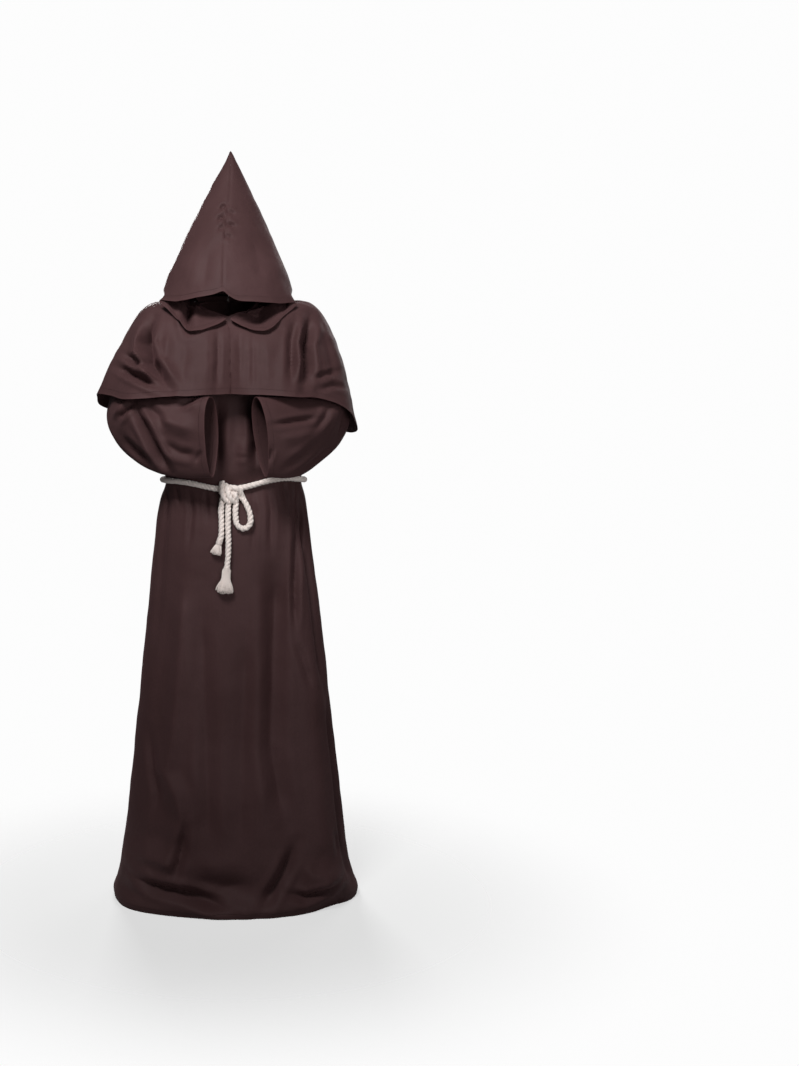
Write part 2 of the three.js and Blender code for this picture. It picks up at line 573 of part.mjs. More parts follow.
// Hood. Two halves joined by the seam that runs from the face edge over the peak to the neck.
const HOOD_KEYS = HOOD_ENDS.map((row, i) => ({ ...row, at: i / (HOOD_ENDS.length - 1) }));
function hoodRing(degrees, height) {
  const value = (column) => along(HOOD_RINGS, "height", height, column);
  const angle = degrees * DEGREE;
  const middle = value("middle");
  const deep = Math.cos(angle) > 0 ? middle - value("front") : value("back") - middle;
  return new THREE.Vector3(
    value("across") * Math.abs(Math.sin(angle)) ** HOOD_ROUNDNESS,
    middle - deep * power(Math.cos(angle), HOOD_ROUNDNESS),
    height,
  );
}
function hoodPoint(name, sign, u, t) {
  const value = (column) => along(HOOD_KEYS, "at", u, column);
  const ring = THREE.MathUtils.clamp(value("ring"), 0, 180);
  let point;
  if (t <= HOOD_TURN_AT) {
    point = hoodRing(ring, HOOD_PEAK + (HOOD_TURN - HOOD_PEAK) * (t / HOOD_TURN_AT));
  } else {
    const start = hoodRing(ring, HOOD_TURN);
    const before = hoodRing(ring, HOOD_TURN + HOOD_TURN_LEAD);
    const end = new THREE.Vector3(value("x"), value("y"), value(name + "_z"));
    const reach = Math.min(HOOD_TURN_REACH, start.distanceTo(end) * HOOD_TURN_SHARE);
    const onward = start.clone().sub(before).setLength(reach);
    const bend = new THREE.QuadraticBezierCurve3(start, start.clone().add(onward), end);
    point = bend.getPoint((t - HOOD_TURN_AT) / (1 - HOOD_TURN_AT));
  }
  point.x = sign * Math.max(point.x, 0);
  return point;
}
function hoodLean({ x, y, z }) {
  const { shift, reach, front_from, front_to, bottom, top } = SEAM_LEAN;
  const inFront = THREE.MathUtils.smoothstep(-y, front_from, front_to);
  const aboveCollar = THREE.MathUtils.smoothstep(z, bottom, top);
  const whole = HOOD_LEAN * THREE.MathUtils.smoothstep(HOOD_PEAK - z, 0, HOOD_PEAK);
  return whole + shift * bump(x, reach) * inFront * aboveCollar;
}
for (const { name, sign } of SIDES) {
  const surface = (u, v) => hoodPoint(name, sign, u, v);
  const rows = [0, 0.05, 0.13, 0.23, 0.34, 0.45, 0.56, 0.65, 0.72, 0.79, 0.86, 0.93, 1];
  const hood = clothWall(surface, steps(0, 1, 22), rows, { turn: -sign, pole: true, half: sign });
  const places = hood.attributes.position;
  for (let i = 0; i < places.count; i += 1) {
    const point = new THREE.Vector3().fromBufferAttribute(places, i);
    places.setX(i, point.x + hoodLean(point));
  }
  add("hood_" + name, hood, clothMaterial);
}

// Rope belt
function ropeTube(points, stepCount, sides) {
  const corners = steps(0, 2 * Math.PI, sides).slice(0, sides);
  const section = new THREE.Shape(
    corners.map((a) => new THREE.Vector2(Math.cos(a), Math.sin(a)).multiplyScalar(ROPE_DIAMETER / 2)),
  );
  const curve = new THREE.CatmullRomCurve3(points, false, "centripetal");
  return new THREE.ExtrudeGeometry(section, { steps: stepCount, extrudePath: curve, curveSegments: 1 });
}
// How far forward the robe's front lies at a place seen from the front
function robeFrontAt(x, z) {
  let height = z;
  let degrees = 0;
  for (let round = 0; round < 4; round += 1) {
    const across = along(ROBE_SECTIONS, "height", height, "across");
    const lean = along(ROBE_SECTIONS, "height", height, "lean");
    degrees = Math.asin((x - lean) / across) / DEGREE;
    height = z + beltDip(degrees, height);
  }
  return robePoint("front", degrees, height).y;
}
function ropePath(route, clearance) {
  return route.map(([x, z]) => new THREE.Vector3(x, robeFrontAt(x, z) - ROPE_DIAMETER / 2 - clearance, z));
}

const knotBack = KNOT.half_depth * KNOT_BEHIND + ROPE_REST;
const knotAt = new THREE.Vector3(KNOT.x, robeFrontAt(KNOT.x, KNOT.z - KNOT.half_height) - knotBack, KNOT.z);
function knotSolid(grown) {
  const core = new THREE.SphereGeometry(1, 12, 10);
  core.scale(KNOT.half_width + grown, KNOT.half_depth + grown, KNOT.half_height + grown);
  let knot = solidOf(core);
  for (const { tilt, drop } of KNOT_WRAPS) {
    const wrap = new THREE.TorusGeometry(WRAP.radius, WRAP.thickness, 6, 14);
    wrap.scale(KNOT.half_width, KNOT.half_depth, ROPE_DIAMETER * WRAP.width);
    wrap.rotateY(tilt * DEGREE);
    wrap.translate(0, 0, drop);
    knot = knot.add(solidOf(wrap));
  }
  return knot.translate(knotAt.toArray());
}
const beltPoint = (turnDegrees) => {
  const panel = Math.cos(turnDegrees * DEGREE) < 0 ? "back" : "front";
  const degrees = panel === "front" ? ((turnDegrees + 180) % 360) - 180 : 180 - turnDegrees;
  const robe = robePoint(panel, degrees, BELT_HEIGHT);
  const ahead = robePoint(panel, degrees + 1, BELT_HEIGHT);
  const out = ahead.sub(robe).setZ(0).normalize();
  const facing = panel === "front" ? 1 : -1;
  return robe.addScaledVector(new THREE.Vector3(out.y, -out.x, 0), facing * (ROPE_DIAMETER / 2 + ROPE_REST));
};
const belt = solidOf(ropeTube(steps(BELT_TURN.from, BELT_TURN.to, 46).map(beltPoint), 56, 8));
const clearKnot = knotSolid(SEAM_GAP);
add("belt_rope", geometryOf(belt.subtract(clearKnot)), ropeMaterial);
add("belt_knot", geometryOf(knotSolid(0)), ropeMaterial);

// The loop and the two tails leave the knot below
const loop = solidOf(ropeTube(ropePath(LOOP_ROUTE, LOOP_FORWARD), 22, 8)).subtract(clearKnot);
add("belt_loop", geometryOf(loop), ropeMaterial);
for (const { name, route, forward, stretches } of TAILS) {
  const tail = solidOf(ropeTube(ropePath(route, forward), stretches, 8)).subtract(clearKnot);
  add("belt_" + name, geometryOf(tail), ropeMaterial);
}

// A tail's end is whipped into a small head, below which its strands are teased out
for (const { name, route, forward, length, spread, strands } of TAILS) {
  const [beforeEnd, end] = ropePath(route.slice(-2), forward);
  const down = end.clone().sub(beforeEnd).normalize();
  const head = new THREE.SphereGeometry(TASSEL_HEAD, 10, 8);
  head.scale(1, TASSEL_HEAD_LENGTH, 1);
  let tassel = solidOf(head).translate([0, 0, -TASSEL_HEAD - SEAM_GAP]);
  for (let i = 0; i < strands; i += 1) {
    const ring = i % 3 === 0 ? STRAND_RINGS.inner : STRAND_RINGS.outer;
    const uneven = (1 + Math.cos(i * STRAND.unevenness)) / 2;
    const strandLength = length * (STRAND.shortest + (1 - STRAND.shortest) * uneven);
    const strand = new THREE.CylinderGeometry(STRAND.root, STRAND.tip, strandLength, 4);
    strand.translate(0, -strandLength / 2, 0);
    const rootReach = TASSEL_HEAD * ring.root;
    const tipReach = spread * ring.tip;
    strand.rotateX(Math.PI / 2);
    strand.rotateY(-Math.atan2(tipReach - rootReach, strandLength));
    strand.translate(rootReach, 0, -TASSEL_HEAD * TASSEL_NECK);
    strand.rotateZ(i * GOLDEN_TURN);
    strand.scale(1, TASSEL_FLATNESS, 1);
    tassel = tassel.add(solidOf(strand));
  }
  const geometry = geometryOf(tassel);
  geometry.applyQuaternion(new THREE.Quaternion().setFromUnitVectors(new THREE.Vector3(0, 0, -1), down));
  geometry.translate(...end.toArray());
  add("tassel_" + name, geometry, ropeMaterial);
}

export default group;
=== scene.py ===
import math

import bmesh
import bpy
import numpy as np
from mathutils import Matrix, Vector, noise


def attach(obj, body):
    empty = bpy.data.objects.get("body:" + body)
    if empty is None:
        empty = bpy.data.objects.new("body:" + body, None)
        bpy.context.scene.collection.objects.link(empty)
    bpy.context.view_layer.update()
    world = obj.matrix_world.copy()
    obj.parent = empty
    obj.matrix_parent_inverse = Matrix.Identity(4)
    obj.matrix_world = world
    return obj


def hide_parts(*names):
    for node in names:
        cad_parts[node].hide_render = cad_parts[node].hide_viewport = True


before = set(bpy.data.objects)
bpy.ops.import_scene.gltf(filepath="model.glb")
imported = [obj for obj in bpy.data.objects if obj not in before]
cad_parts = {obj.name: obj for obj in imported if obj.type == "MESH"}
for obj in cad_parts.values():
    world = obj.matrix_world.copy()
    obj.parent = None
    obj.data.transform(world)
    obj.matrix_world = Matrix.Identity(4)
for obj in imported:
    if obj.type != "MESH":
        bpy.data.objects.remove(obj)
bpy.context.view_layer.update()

# Studio. A level camera stands 3.3 m in front of the habit at the height of its sleeves, shifted so that the
# habit fills the left of the picture. A soft light close by at the upper left lets the skirt fall into shade,
# and the pale floor fades out into a white surround.
CAMERA_DISTANCE = 3.3
CAMERA_HEIGHT = -0.27
PICTURE_HEIGHT = 1066
PICTURE_MIDDLE = (399.5, 533)
AXIS_PIXEL = (230.6, 411)
FOCAL_PIXELS = 1375
SENSOR = 36.0
FLOOR = {"height": -1.42, "below": 0.0005, "radius": 1.15, "solid_to": 0.28, "fades_by": 0.96, "alpha": 0.4}
SURROUND = {"lights": 0.075, "looks": 0.98}


def table(names, *rows):
    """Rows of values under the names of their columns."""
    return [dict(zip(names.split(), row)) for row in rows]


STUDIO_LIGHTS = table(
    "name place aim size power spread",
    ("key", (-0.62, -1.8, 1.5), (0, 0, -0.03), 0.7, 9.2, 68),
    ("fill", (0.9, -2.3, -0.35), (0, 0, -0.36), 1.6, 2.4, 44),
    ("back left", (-0.35, 2.6, 0.5), (0, 0, -0.2), 0.8, 28, 110),
    ("back right", (1.2, 2.3, 0.6), (0, 0, -0.5), 1.2, 6, 120),
)


def new_material(name, settings):
    """A material, and its shader with the plain settings."""
    material = bpy.data.materials.new(name)
    material.use_nodes = True
    shader = material.node_tree.nodes["Principled BSDF"]
    for socket, value in settings.items():
        shader.inputs[socket].default_value = value
    return material, shader


def ranged(tree, value, low, high, start=0.0, end=1.0, way="LINEAR"):
    """The value taken from the range start to end onto the range low to high."""
    node = tree.nodes.new("ShaderNodeMapRange")
    node.interpolation_type = way
    for socket, number in (("From Min", start), ("From Max", end), ("To Min", low), ("To Max", high)):
        node.inputs[socket].default_value = number
    tree.links.new(value, node.inputs["Value"])
    return node.outputs["Result"]


def pale_floor():
    """Matt pale grey that thins out evenly towards the floor's edge."""
    material, shader = new_material(
        "pale floor", {"Base Color": (0.9, 0.9, 0.9, 1), "Roughness": 0.9, "Specular IOR Level": 0.1}
    )
    tree = material.node_tree
    place = tree.nodes.new("ShaderNodeTexCoord")
    reach = tree.nodes.new("ShaderNodeVectorMath")
    reach.operation = "LENGTH"
    tree.links.new(place.outputs["Object"], reach.inputs[0])
    edge = FLOOR["radius"] * FLOOR["fades_by"]
    fade = ranged(tree, reach.outputs["Value"], FLOOR["alpha"], 0, FLOOR["solid_to"], edge, "SMOOTHERSTEP")
    tree.links.new(fade, shader.inputs["Alpha"])
    return material


camera_data = bpy.data.cameras.new("camera")
camera_data.sensor_width = SENSOR
camera_data.lens = FOCAL_PIXELS / PICTURE_HEIGHT * SENSOR
camera_data.shift_x = (PICTURE_MIDDLE[0] - AXIS_PIXEL[0]) / PICTURE_HEIGHT
camera_data.shift_y = -(PICTURE_MIDDLE[1] - AXIS_PIXEL[1]) / PICTURE_HEIGHT
camera = bpy.data.objects.new("camera", camera_data)
camera.location = (0, -CAMERA_DISTANCE, CAMERA_HEIGHT)
camera.rotation_euler = (math.radians(90), 0, 0)
bpy.context.collection.objects.link(camera)
bpy.context.scene.camera = camera

bpy.ops.object.select_all(action="DESELECT")
bpy.ops.mesh.primitive_circle_add(
    vertices=96, radius=FLOOR["radius"], fill_type="NGON", location=(0, 0, FLOOR["height"] - FLOOR["below"])
)
floor = bpy.context.object
floor.name = "floor"
floor.data.materials.append(pale_floor())

for light in STUDIO_LIGHTS:
    lamp = bpy.data.lights.new(light["name"], "AREA")
    lamp.size = light["size"]
    lamp.energy = light["power"]
    lamp.spread = math.radians(light["spread"])
    holder = bpy.data.objects.new(light["name"], lamp)
    holder.location = light["place"]
    toward = Vector(light["aim"]) - Vector(light["place"])
    holder.rotation_euler = toward.to_track_quat("-Z", "Y").to_euler()
    bpy.context.collection.objects.link(holder)

# The surround looks white, and lights the cloth only a little
world = bpy.data.worlds.new("studio")
bpy.context.scene.world = world
world.use_nodes = True
surround = world.node_tree.nodes["Background"]
surround.inputs["Color"].default_value = (1, 1, 1, 1)
seen = world.node_tree.nodes.new("ShaderNodeLightPath")
brightness = ranged(world.node_tree, seen.outputs["Is Camera Ray"], SURROUND["lights"], SURROUND["looks"])
world.node_tree.links.new(brightness, surround.inputs["Strength"])
bpy.context.scene.view_settings.view_transform = "Standard"


# Robe. Two floor-length panels of thin brown polyester are sewn together at the sides and shoulders. They
# blouse over the belt, fall in long folds, and break softly where the hem meets the floor. The two armholes
# are cut at the shoulders.
MM = 0.001
CLOTH_THICKNESS = 1.4
CLOTH_SMOOTH = 60
SEAM_ALLOWANCE = 6
BELT_HEIGHT = -434
BELT_SPREAD = 60
ROBE_BOTTOM = -1420
ROBE_TOP = -14
ROBE_YOKE = -75
ROBE_SQUARENESS = 0.94
ROBE_BELOW_SEAM = 5
ROBE_INSIDE_SEAM = 3
ROBE_COLUMNS = 170
ROBE_CUT = {"flat": (1.25, 1.5), "area": 0.85}
ROBE_RESTS_ON = ["cape_right_cloth", "cape_left_cloth"]
ARMHOLE = {"height": -112, "half_height": 62, "half_depth": 58, "middle": 210, "length": 240}
# Half the robe's width, how far it reaches to the front and back, and how far its middle lies to one side
ROBE_SECTIONS = table(
    "height across front back lean",
    (-1420, 290, 190, 188, 12),
    (-1402, 293, 198, 194, 12),
    (-1378, 284, 188, 186, 12),
    (-1335, 272, 180, 178, 11),
    (-1204, 255, 172, 170, 11),
    (-964, 229, 160, 156, 9),
    (-724, 204, 148, 141, 8),
    (-580, 187, 139, 128, 4),
    (-484, 174, 127, 113, 5),
    (-434, 162, 114, 99, 7),
    (-398, 174, 128, 114, 5),
    (-330, 177, 131, 122, 2),
    (-190, 170, 124, 112, -3),
    (-110, 180, 110, 100, -4),
    (-70, 180, 99, 92, -4),
    (-45, 168, 91, 86, -4),
    (-30, 140, 84, 80, -4),
    (-20, 104, 78, 74, -4),
    (-14, 74, 72, 68, -4),
)
# How far apart the rows of the robe's mesh lie, down to each level
ROBE_ROWS = table("level step", (-270, 9), (-415, 5), (-560, 3.6), (-1300, 7.6), (-1420, 3))
# The knot pulls the belt down in front, and the belt rises again towards the habit's left
BELT_DIPS = table(
    "at width depth",
    (-5, 25, 17),
    (42, 26, -7),
)
# Long folds: degrees from the panel's middle at the belt and at the hem, width in degrees, depth in mm
ROBE_FOLDS = {
    "front": table(
        "belt hem width depth top bottom",
        (-28, -27, 11, 7, -520, -1420),
        (26, 31, 10, -13, -560, -1420),
        (48, 50, 9, 8, -480, -1420),
        (66, 70, 6, -13, -450, -1000),
        (-62, -58, 7, -7, -450, -900),
        (-8, -4, 12, -6, -900, -1420),
        (78, 76, 7, -14, -900, -1420),
    ),
    "back": table(
        "belt hem width depth top bottom",
        (60, 66, 6, -11, -440, -800),
        (45, 52, 8, 7, -440, -1420),
        (24, 31, 8, -17, -440, -1420),
        (6, 10, 9, 7, -440, -1420),
        (-14, -4, 7, -7, -700, -1420),
        (-38, -19, 8, -24, -440, -1420),
        (-54, -44, 8, 8, -440, -1420),
        (-72, -72, 6, -11, -440, -1420),
    ),
}
FOLD_RISE = 130
FOLD_FADE = 200
HEM_CALM = {"share": 0.75, "top": -1330, "bottom": -1415}
# Above the belt the cloth blouses, and just above the floor the hem breaks: degrees and mm as for the folds
BLOUSE = {"height": -375, "spread": 42}
BLOUSE_FOLDS = {
    "front": table(
        "at width depth",
        (12, 9, 6),
        (-20, 9, 5),
    ),
    "back": table(
        "at width depth",
        (52, 8, 8),
        (22, 7, -8),
        (2, 9, 7),
        (-26, 8, 8),
        (-44, 7, -8),
        (-62, 8, 6),
    ),
}
HEM_BREAKS = {
    "front": table(
        "at width height spread depth",
        (-48, 15, -1352, 26, 16),
        (46, 17, -1360, 28, 17),
        (0, 20, -1368, 30, -12),
        (-52, 17, -1416, 22, 13),
        (52, 17, -1416, 24, -20),
    ),
    "back": table(
        "at width height spread depth",
        (-52, 12, -1362, 22, 15),
        (20, 14, -1366, 22, 8),
    ),
}
# The seam between the hood and the cape, from the middle of the front round to the middle of the back
NECK_SEAM = table(
    "at across deep height",
    (0, 0, -122, -61),
    (40, 56, -88, -38),
    (90, 80, -10, -9),
    (135, 56, 52, 2),
    (180, 0, 76, 5),
)
# Creases, given as routes of (x, z) seen from the front or the back
ROBE_CREASES = {
    "front": table(
        "width depth route",
        (8, -15, [(151, -418), (158, -473), (156, -564), (149, -678), (149, -792)]),
        (15, 7, [(179, -473), (188, -610), (202, -792), (220, -1020)]),
        (8, -6, [(140, -785), (165, -838), (195, -929)]),
        (19, -17, [(106, -648), (99, -883), (94, -1043), (122, -1214)]),
        (19, 14, [
            (-106, -678), (-120, -883), (-134, -1020), (-150, -1100), (-124, -1157), (-111, -1203),
            (-134, -1298)
        ]),
        (9, -9, [(-191, -1009), (-184, -1077), (-168, -1157), (-184, -1225)]),
        (16, -9, [(-65, -747), (-56, -1020), (-49, -1271)]),
        (20, -9, [(35, -792), (28, -1020), (21, -1271)]),
        (5, -6, [(-161, -441), (-147, -484), (-154, -541)]),
        (4.5, -5, [(-131, -441), (-118, -491)]),
        (6, -6, [(-99, -443), (-90, -500), (-97, -587)]),
        (5, -5, [(-58, -450), (-54, -523)]),
        (6, -5, [(47, -446), (56, -507), (49, -601)]),
        (7, -7, [(85, -436), (94, -500), (92, -601)]),
        (5, -5, [(122, -430), (129, -489)]),
        (23, 17, [(-223, -1326), (-188, -1298), (-143, -1303), (-122, -1339)]),
        (11, -24, [(-238, -1344), (-184, -1360), (-104, -1369), (-36, -1389), (12, -1405)]),
        (11, -17, [(-102, -1198), (-112, -1271), (-134, -1353)]),
        (12, -21, [(154, -1262), (124, -1321), (88, -1376), (62, -1410)]),
        (21, 14, [(158, -1298), (188, -1335), (227, -1344), (259, -1326)]),
        (8, -14, [(122, -1367), (170, -1383), (227, -1371), (268, -1353)]),
        (6, -9, [(245, -1248), (254, -1312)]),
        (26, -16, [(-106, -1336), (-30, -1362), (52, -1348)]),
        (4, -5, [(8, -377), (40, -377)]),
        (13, -27, [(-32, -252), (-34, -340), (-30, -408)]),
        (12, -27, [(60, -252), (62, -340), (58, -408)]),
        (11, 6, [(24, -327), (26, -404)]),
    ),
    "back": table(
        "width depth route",
        (8, -8, [(43, -323), (48, -383), (38, -422)]),
        (9, -9, [(-134, -328), (-125, -422)]),
        (8, 5, [(-60, -337), (-65, -420)]),
        (8, -9, [(108, -448), (132, -494), (134, -568)]),
        (8, -8, [(43, -443), (60, -499), (67, -637)]),
        (20, -8, [(67, -614), (84, -938), (94, -1307)]),
        (11, -18, [
            (-108, -446), (-108, -522), (-103, -614), (-96, -790), (-82, -938), (-65, -1169), (-65, -1363)
        ]),
        (15, 6, [(175, -707), (178, -891), (178, -1076)]),
        (14, 7, [(-46, -476), (-41, -707), (-22, -984), (-2, -1307)]),
        (10, 7, [(-194, -845), (-194, -1030), (-202, -1192)]),
        (11, 10, [(-127, -1335), (-185, -1321), (-233, -1349)]),
        (6, -11, [(-89, -1376), (-166, -1383), (-233, -1386)]),
        (9, -9, [(204, -1307), (158, -1353), (98, -1372)]),
        (12, 6, [(2, -1335), (-46, -1358), (-84, -1349)]),
        (5, -5, [(-12, -446), (-17, -503)]),
        (5, -5, [(-60, -446), (-62, -499)]),
        (5, -5, [(84, -446), (91, -489)]),
    ),
}
# A crease is shallow at its ends, and the cloth rises in a low lip beside it
CREASE = {
    "sharpness": 1.5, "fade_share": 0.35, "longest_fade": 70, "end_share": 0.15,
    "lip": 0.3, "lip_at": 2, "lip_width": 0.9,
}
# Folds are set by how they look from the front or the back, so most of a crease's push is along the depth
CREASE_WAY = {"of_normal": (0.45, 1, 0.45), "of_depth": 0.6, "seen_from": -0.15, "seen_to": 0.35}
# Soft unevenness of the cloth: its height, and the distance between rises
ROBE_RUMPLES = table("height size seed", (2.2, 90, 3), (0.8, 34, 11))
CLOTH_DARK = (0.056, 0.0272, 0.0276)
CLOTH_LIGHT = (0.078, 0.0405, 0.0415)
HEM_STITCH = {"from_edge": 0.014, "width": 0.0006, "pitch": 0.0036, "share": 0.7}


def curve_along(rows, key, at, column):
    """A column of a table at any values of its key column, on one smooth curve through the rows."""
    keys = np.array([row[key] for row in rows], float)
    values = np.array([row[column] for row in rows], float)
    at = np.asarray(at, float)
    if keys[-1] < keys[0]:
        keys, at = -keys, -at
    rise = np.append(values[1:], values[-1]) - np.insert(values[:-1], 0, values[0])
    run = np.append(keys[1:], keys[-1]) - np.insert(keys[:-1], 0, keys[0])
    slopes = rise / run
    i = np.clip(np.searchsorted(keys, at, side="right") - 1, 0, len(rows) - 2)
    span = keys[i + 1] - keys[i]
    t = np.clip((at - keys[i]) / span, 0, 1)
    keep = 2 * t**3 - 3 * t**2 + 1
    bend = (t**3 - 2 * t**2 + t) * slopes[i] + (t**3 - t**2) * slopes[i + 1]
    return keep * values[i] + (1 - keep) * values[i + 1] + span * bend


def points_along(rows, key, at, columns):
    """Points whose x, y and z are three columns of a table."""
    return np.stack([curve_along(rows, key, at, column) for column in columns], axis=-1)


def bump(distance, width):
    return np.exp(-((distance / width) ** 2))


def ease(x, start, end):
    t = np.clip((x - start) / (end - start), 0, 1)
    return t * t * (3 - 2 * t)


def signed_power(x, exponent):
    return np.sign(x) * np.abs(x) ** exponent


def unit(vectors):
    return vectors / np.maximum(np.linalg.norm(vectors, axis=-1, keepdims=True), 1e-9)


def run_along(path):
    """How far along a path each of its points lies."""
    return np.insert(np.cumsum(np.linalg.norm(np.diff(path, axis=0), axis=1)), 0, 0)


def neck_seam(degrees):
    return points_along(NECK_SEAM, "at", degrees, ("across", "deep", "height"))


def belt_dip(degrees, height):
    dip = sum(row["depth"] * bump(degrees - row["at"], row["width"]) for row in BELT_DIPS)
    return dip * bump(height - BELT_HEIGHT, BELT_SPREAD)


def robe_swell(panel, degrees, height):
    """How far the folds and breaks of a panel stand out, in mm."""
    down = np.clip((BELT_HEIGHT - height) / (BELT_HEIGHT - ROBE_BOTTOM), 0, 1)
    calm = 1 - HEM_CALM["share"] * ease(-height, -HEM_CALM["top"], -HEM_CALM["bottom"])
    out = np.zeros(np.broadcast(degrees, height).shape)
    for fold in ROBE_FOLDS[panel]:
        at = fold["belt"] + (fold["hem"] - fold["belt"]) * down
        below = FOLD_FADE if fold["bottom"] <= ROBE_BOTTOM else 0
        fade_in = ease(-height, -fold["top"], -fold["top"] + FOLD_RISE)
        fade_out = ease(height, fold["bottom"] - below, fold["bottom"] + FOLD_FADE)
        out = out + fold["depth"] * bump(degrees - at, fold["width"]) * fade_in * fade_out * calm
    for fold in BLOUSE_FOLDS[panel]:
        across_fold = bump(degrees - fold["at"], fold["width"])
        out = out + fold["depth"] * across_fold * bump(height - BLOUSE["height"], BLOUSE["spread"])
    for lump in HEM_BREAKS[panel]:
        across_lump = bump(degrees - lump["at"], lump["width"])
        out = out + lump["depth"] * across_lump * bump(height - lump["height"], lump["spread"])
    return out


def robe_surface(panel, degrees, height):
    """Points of the robe in mm. Degree 0 is the panel's middle and 90 the habit's left side seam."""
    angle = np.radians(degrees)
    facing = -1 if panel == "front" else 1
    out = robe_swell(panel, degrees, height)
    across = curve_along(ROBE_SECTIONS, "height", height, "across") + out
    deep = curve_along(ROBE_SECTIONS, "height", height, panel) + out
    dip = belt_dip(degrees, height) if panel == "front" else 0
    lean = curve_along(ROBE_SECTIONS, "height", height, "lean")
    x = lean + across * signed_power(np.sin(angle), ROBE_SQUARENESS)
    y = facing * deep * signed_power(np.cos(angle), ROBE_SQUARENESS)
    points = np.stack(np.broadcast_arrays(x, y, height - dip), axis=-1)
    seam = neck_seam(np.abs(degrees) if panel == "front" else 180 - np.abs(degrees))
    seam[..., 0] *= np.sign(degrees)
    length = np.linalg.norm(seam, axis=-1, keepdims=True)
    seam = seam * (length - ROBE_INSIDE_SEAM) / length
    seam[..., 2] -= ROBE_BELOW_SEAM
    near_neck = ease(height, ROBE_YOKE, ROBE_TOP)[..., None]
    return points * (1 - near_neck) + seam * near_neck


def robe_heights():
    heights = [float(ROBE_TOP)]
    for row in ROBE_ROWS:
        count = int(round((heights[-1] - row["level"]) / row["step"]))
        heights.extend(np.linspace(heights[-1], row["level"], count + 1)[1:])
    return np.array(heights)[:, None]


def outward(points, turn):
    """Unit normals of a grid of points. Turn is 1 or -1, whichever way its rows and columns run."""
    return unit(turn * np.cross(np.gradient(points, axis=1), np.gradient(points, axis=0)))


def nearest_on_route(flat, route):
    """How far each point lies from a route, and how far along the route its nearest place is."""
    starts = run_along(route)
    nearest = np.full(flat.shape[:2], np.inf)
    reached = np.zeros(flat.shape[:2])
    for i, length in enumerate(np.diff(starts)):
        direction = (route[i + 1] - route[i]) / length
        kept = np.clip((flat - route[i]) @ direction, 0, length)
        away = np.linalg.norm(flat - route[i] - kept[..., None] * direction, axis=-1)
        closer = away < nearest
        nearest = np.where(closer, away, nearest)
        reached = np.where(closer, starts[i] + kept, reached)
    return nearest, reached, starts[-1]


def creased(points, turn, creases, facing):
    """The points pushed out or in along soft creases, on the side facing the front (-1) or the back (1)."""
    normals = outward(points, turn)
    seen = ease(facing * normals[..., 1], CREASE_WAY["seen_from"], CREASE_WAY["seen_to"])
    flat = points[..., [0, 2]]
    push = np.zeros(flat.shape[:2])
    for crease in creases:
        nearest, reached, length = nearest_on_route(flat, np.array(crease["route"], float))
        end = min(length * CREASE["fade_share"], CREASE["longest_fade"])
        fade = ease(reached, 0, end) * ease(length - reached, 0, end)
        away = nearest / crease["width"]
        lip = CREASE["lip"] * bump(away - CREASE["lip_at"], CREASE["lip_width"])
        shape = np.exp(-(away ** CREASE["sharpness"])) - lip
        push += crease["depth"] * (CREASE["end_share"] + (1 - CREASE["end_share"]) * fade) * shape
    way = unit(normals * CREASE_WAY["of_normal"] + (0, CREASE_WAY["of_depth"] * facing, 0))
    return points + way * (push * seen)[..., None]


def rumpled(points, turn, rumples):
    """The points moved by soft, shallow unevenness."""
    for rumple in rumples:
        flat = points.reshape(-1, 3) / rumple["size"] + rumple["seed"]
        waves = np.array([noise.noise(Vector(p)) for p in flat]).reshape(points.shape[:2])
        points = points + outward(points, turn) * (rumple["height"] * waves)[..., None]
    return points


def with_allowance(points, turn, width):
    """The grid with a narrow strip turned inwards at its first and last columns, as at a sewn seam."""
    normals = outward(points, turn)
    first = points[:, 0] - width * normals[:, 0]
    last = points[:, -1] - width * normals[:, -1]
    return np.concatenate([first[:, None], points, last[:, None]], axis=1)


def grid_piece(name, points, maps):
    """A piece from a grid of points in mm, with the UV maps that are given as (u, v) for each point."""
    rows, columns = points.shape[:2]
    bpy.ops.object.select_all(action="DESELECT")
    bpy.ops.mesh.primitive_grid_add(x_subdivisions=columns - 1, y_subdivisions=rows - 1, calc_uvs=True)
    piece = bpy.context.object
    piece.name = name
    mesh = piece.data
    mesh.name = name
    mesh.vertices.foreach_set("co", (points * MM).ravel())
    corners = np.zeros(len(mesh.loops), int)
    mesh.loops.foreach_get("vertex_index", corners)
    mesh.uv_layers[0].name = next(iter(maps))
    for key, pair in maps.items():
        layer = mesh.uv_layers.get(key) or mesh.uv_layers.new(name=key)
        spread = [np.broadcast_to(part, (rows, columns)).ravel()[corners] for part in pair]
        layer.data.foreach_set("uv", np.stack(spread, axis=-1).ravel())
    return piece


def cloth_grid(name, points):
    """A sheet of cloth, with one UV map of its cut in metres and one of the distance to its hem."""
    along_row = np.linalg.norm(np.diff(points, axis=1), axis=-1)
    along_row = np.insert(np.cumsum(along_row, axis=1), 0, 0, axis=1)
    u = (along_row - along_row[:, [points.shape[1] // 2]]) * MM
    along_column = np.linalg.norm(np.diff(points, axis=0), axis=-1)
    v = np.insert(np.cumsum(along_column, axis=0), 0, 0, axis=0) * MM
    return grid_piece(name, points, {"cut": (u, v), "hem": (u + v, v[-1] - v)})


def merge_points(threshold):
    """In the newest piece, points that lie on one another become one."""
    bpy.ops.object.mode_set(mode="EDIT")
    bpy.ops.mesh.select_all(action="SELECT")
    bpy.ops.mesh.remove_doubles(threshold=threshold)
    bpy.ops.object.mode_set(mode="OBJECT")


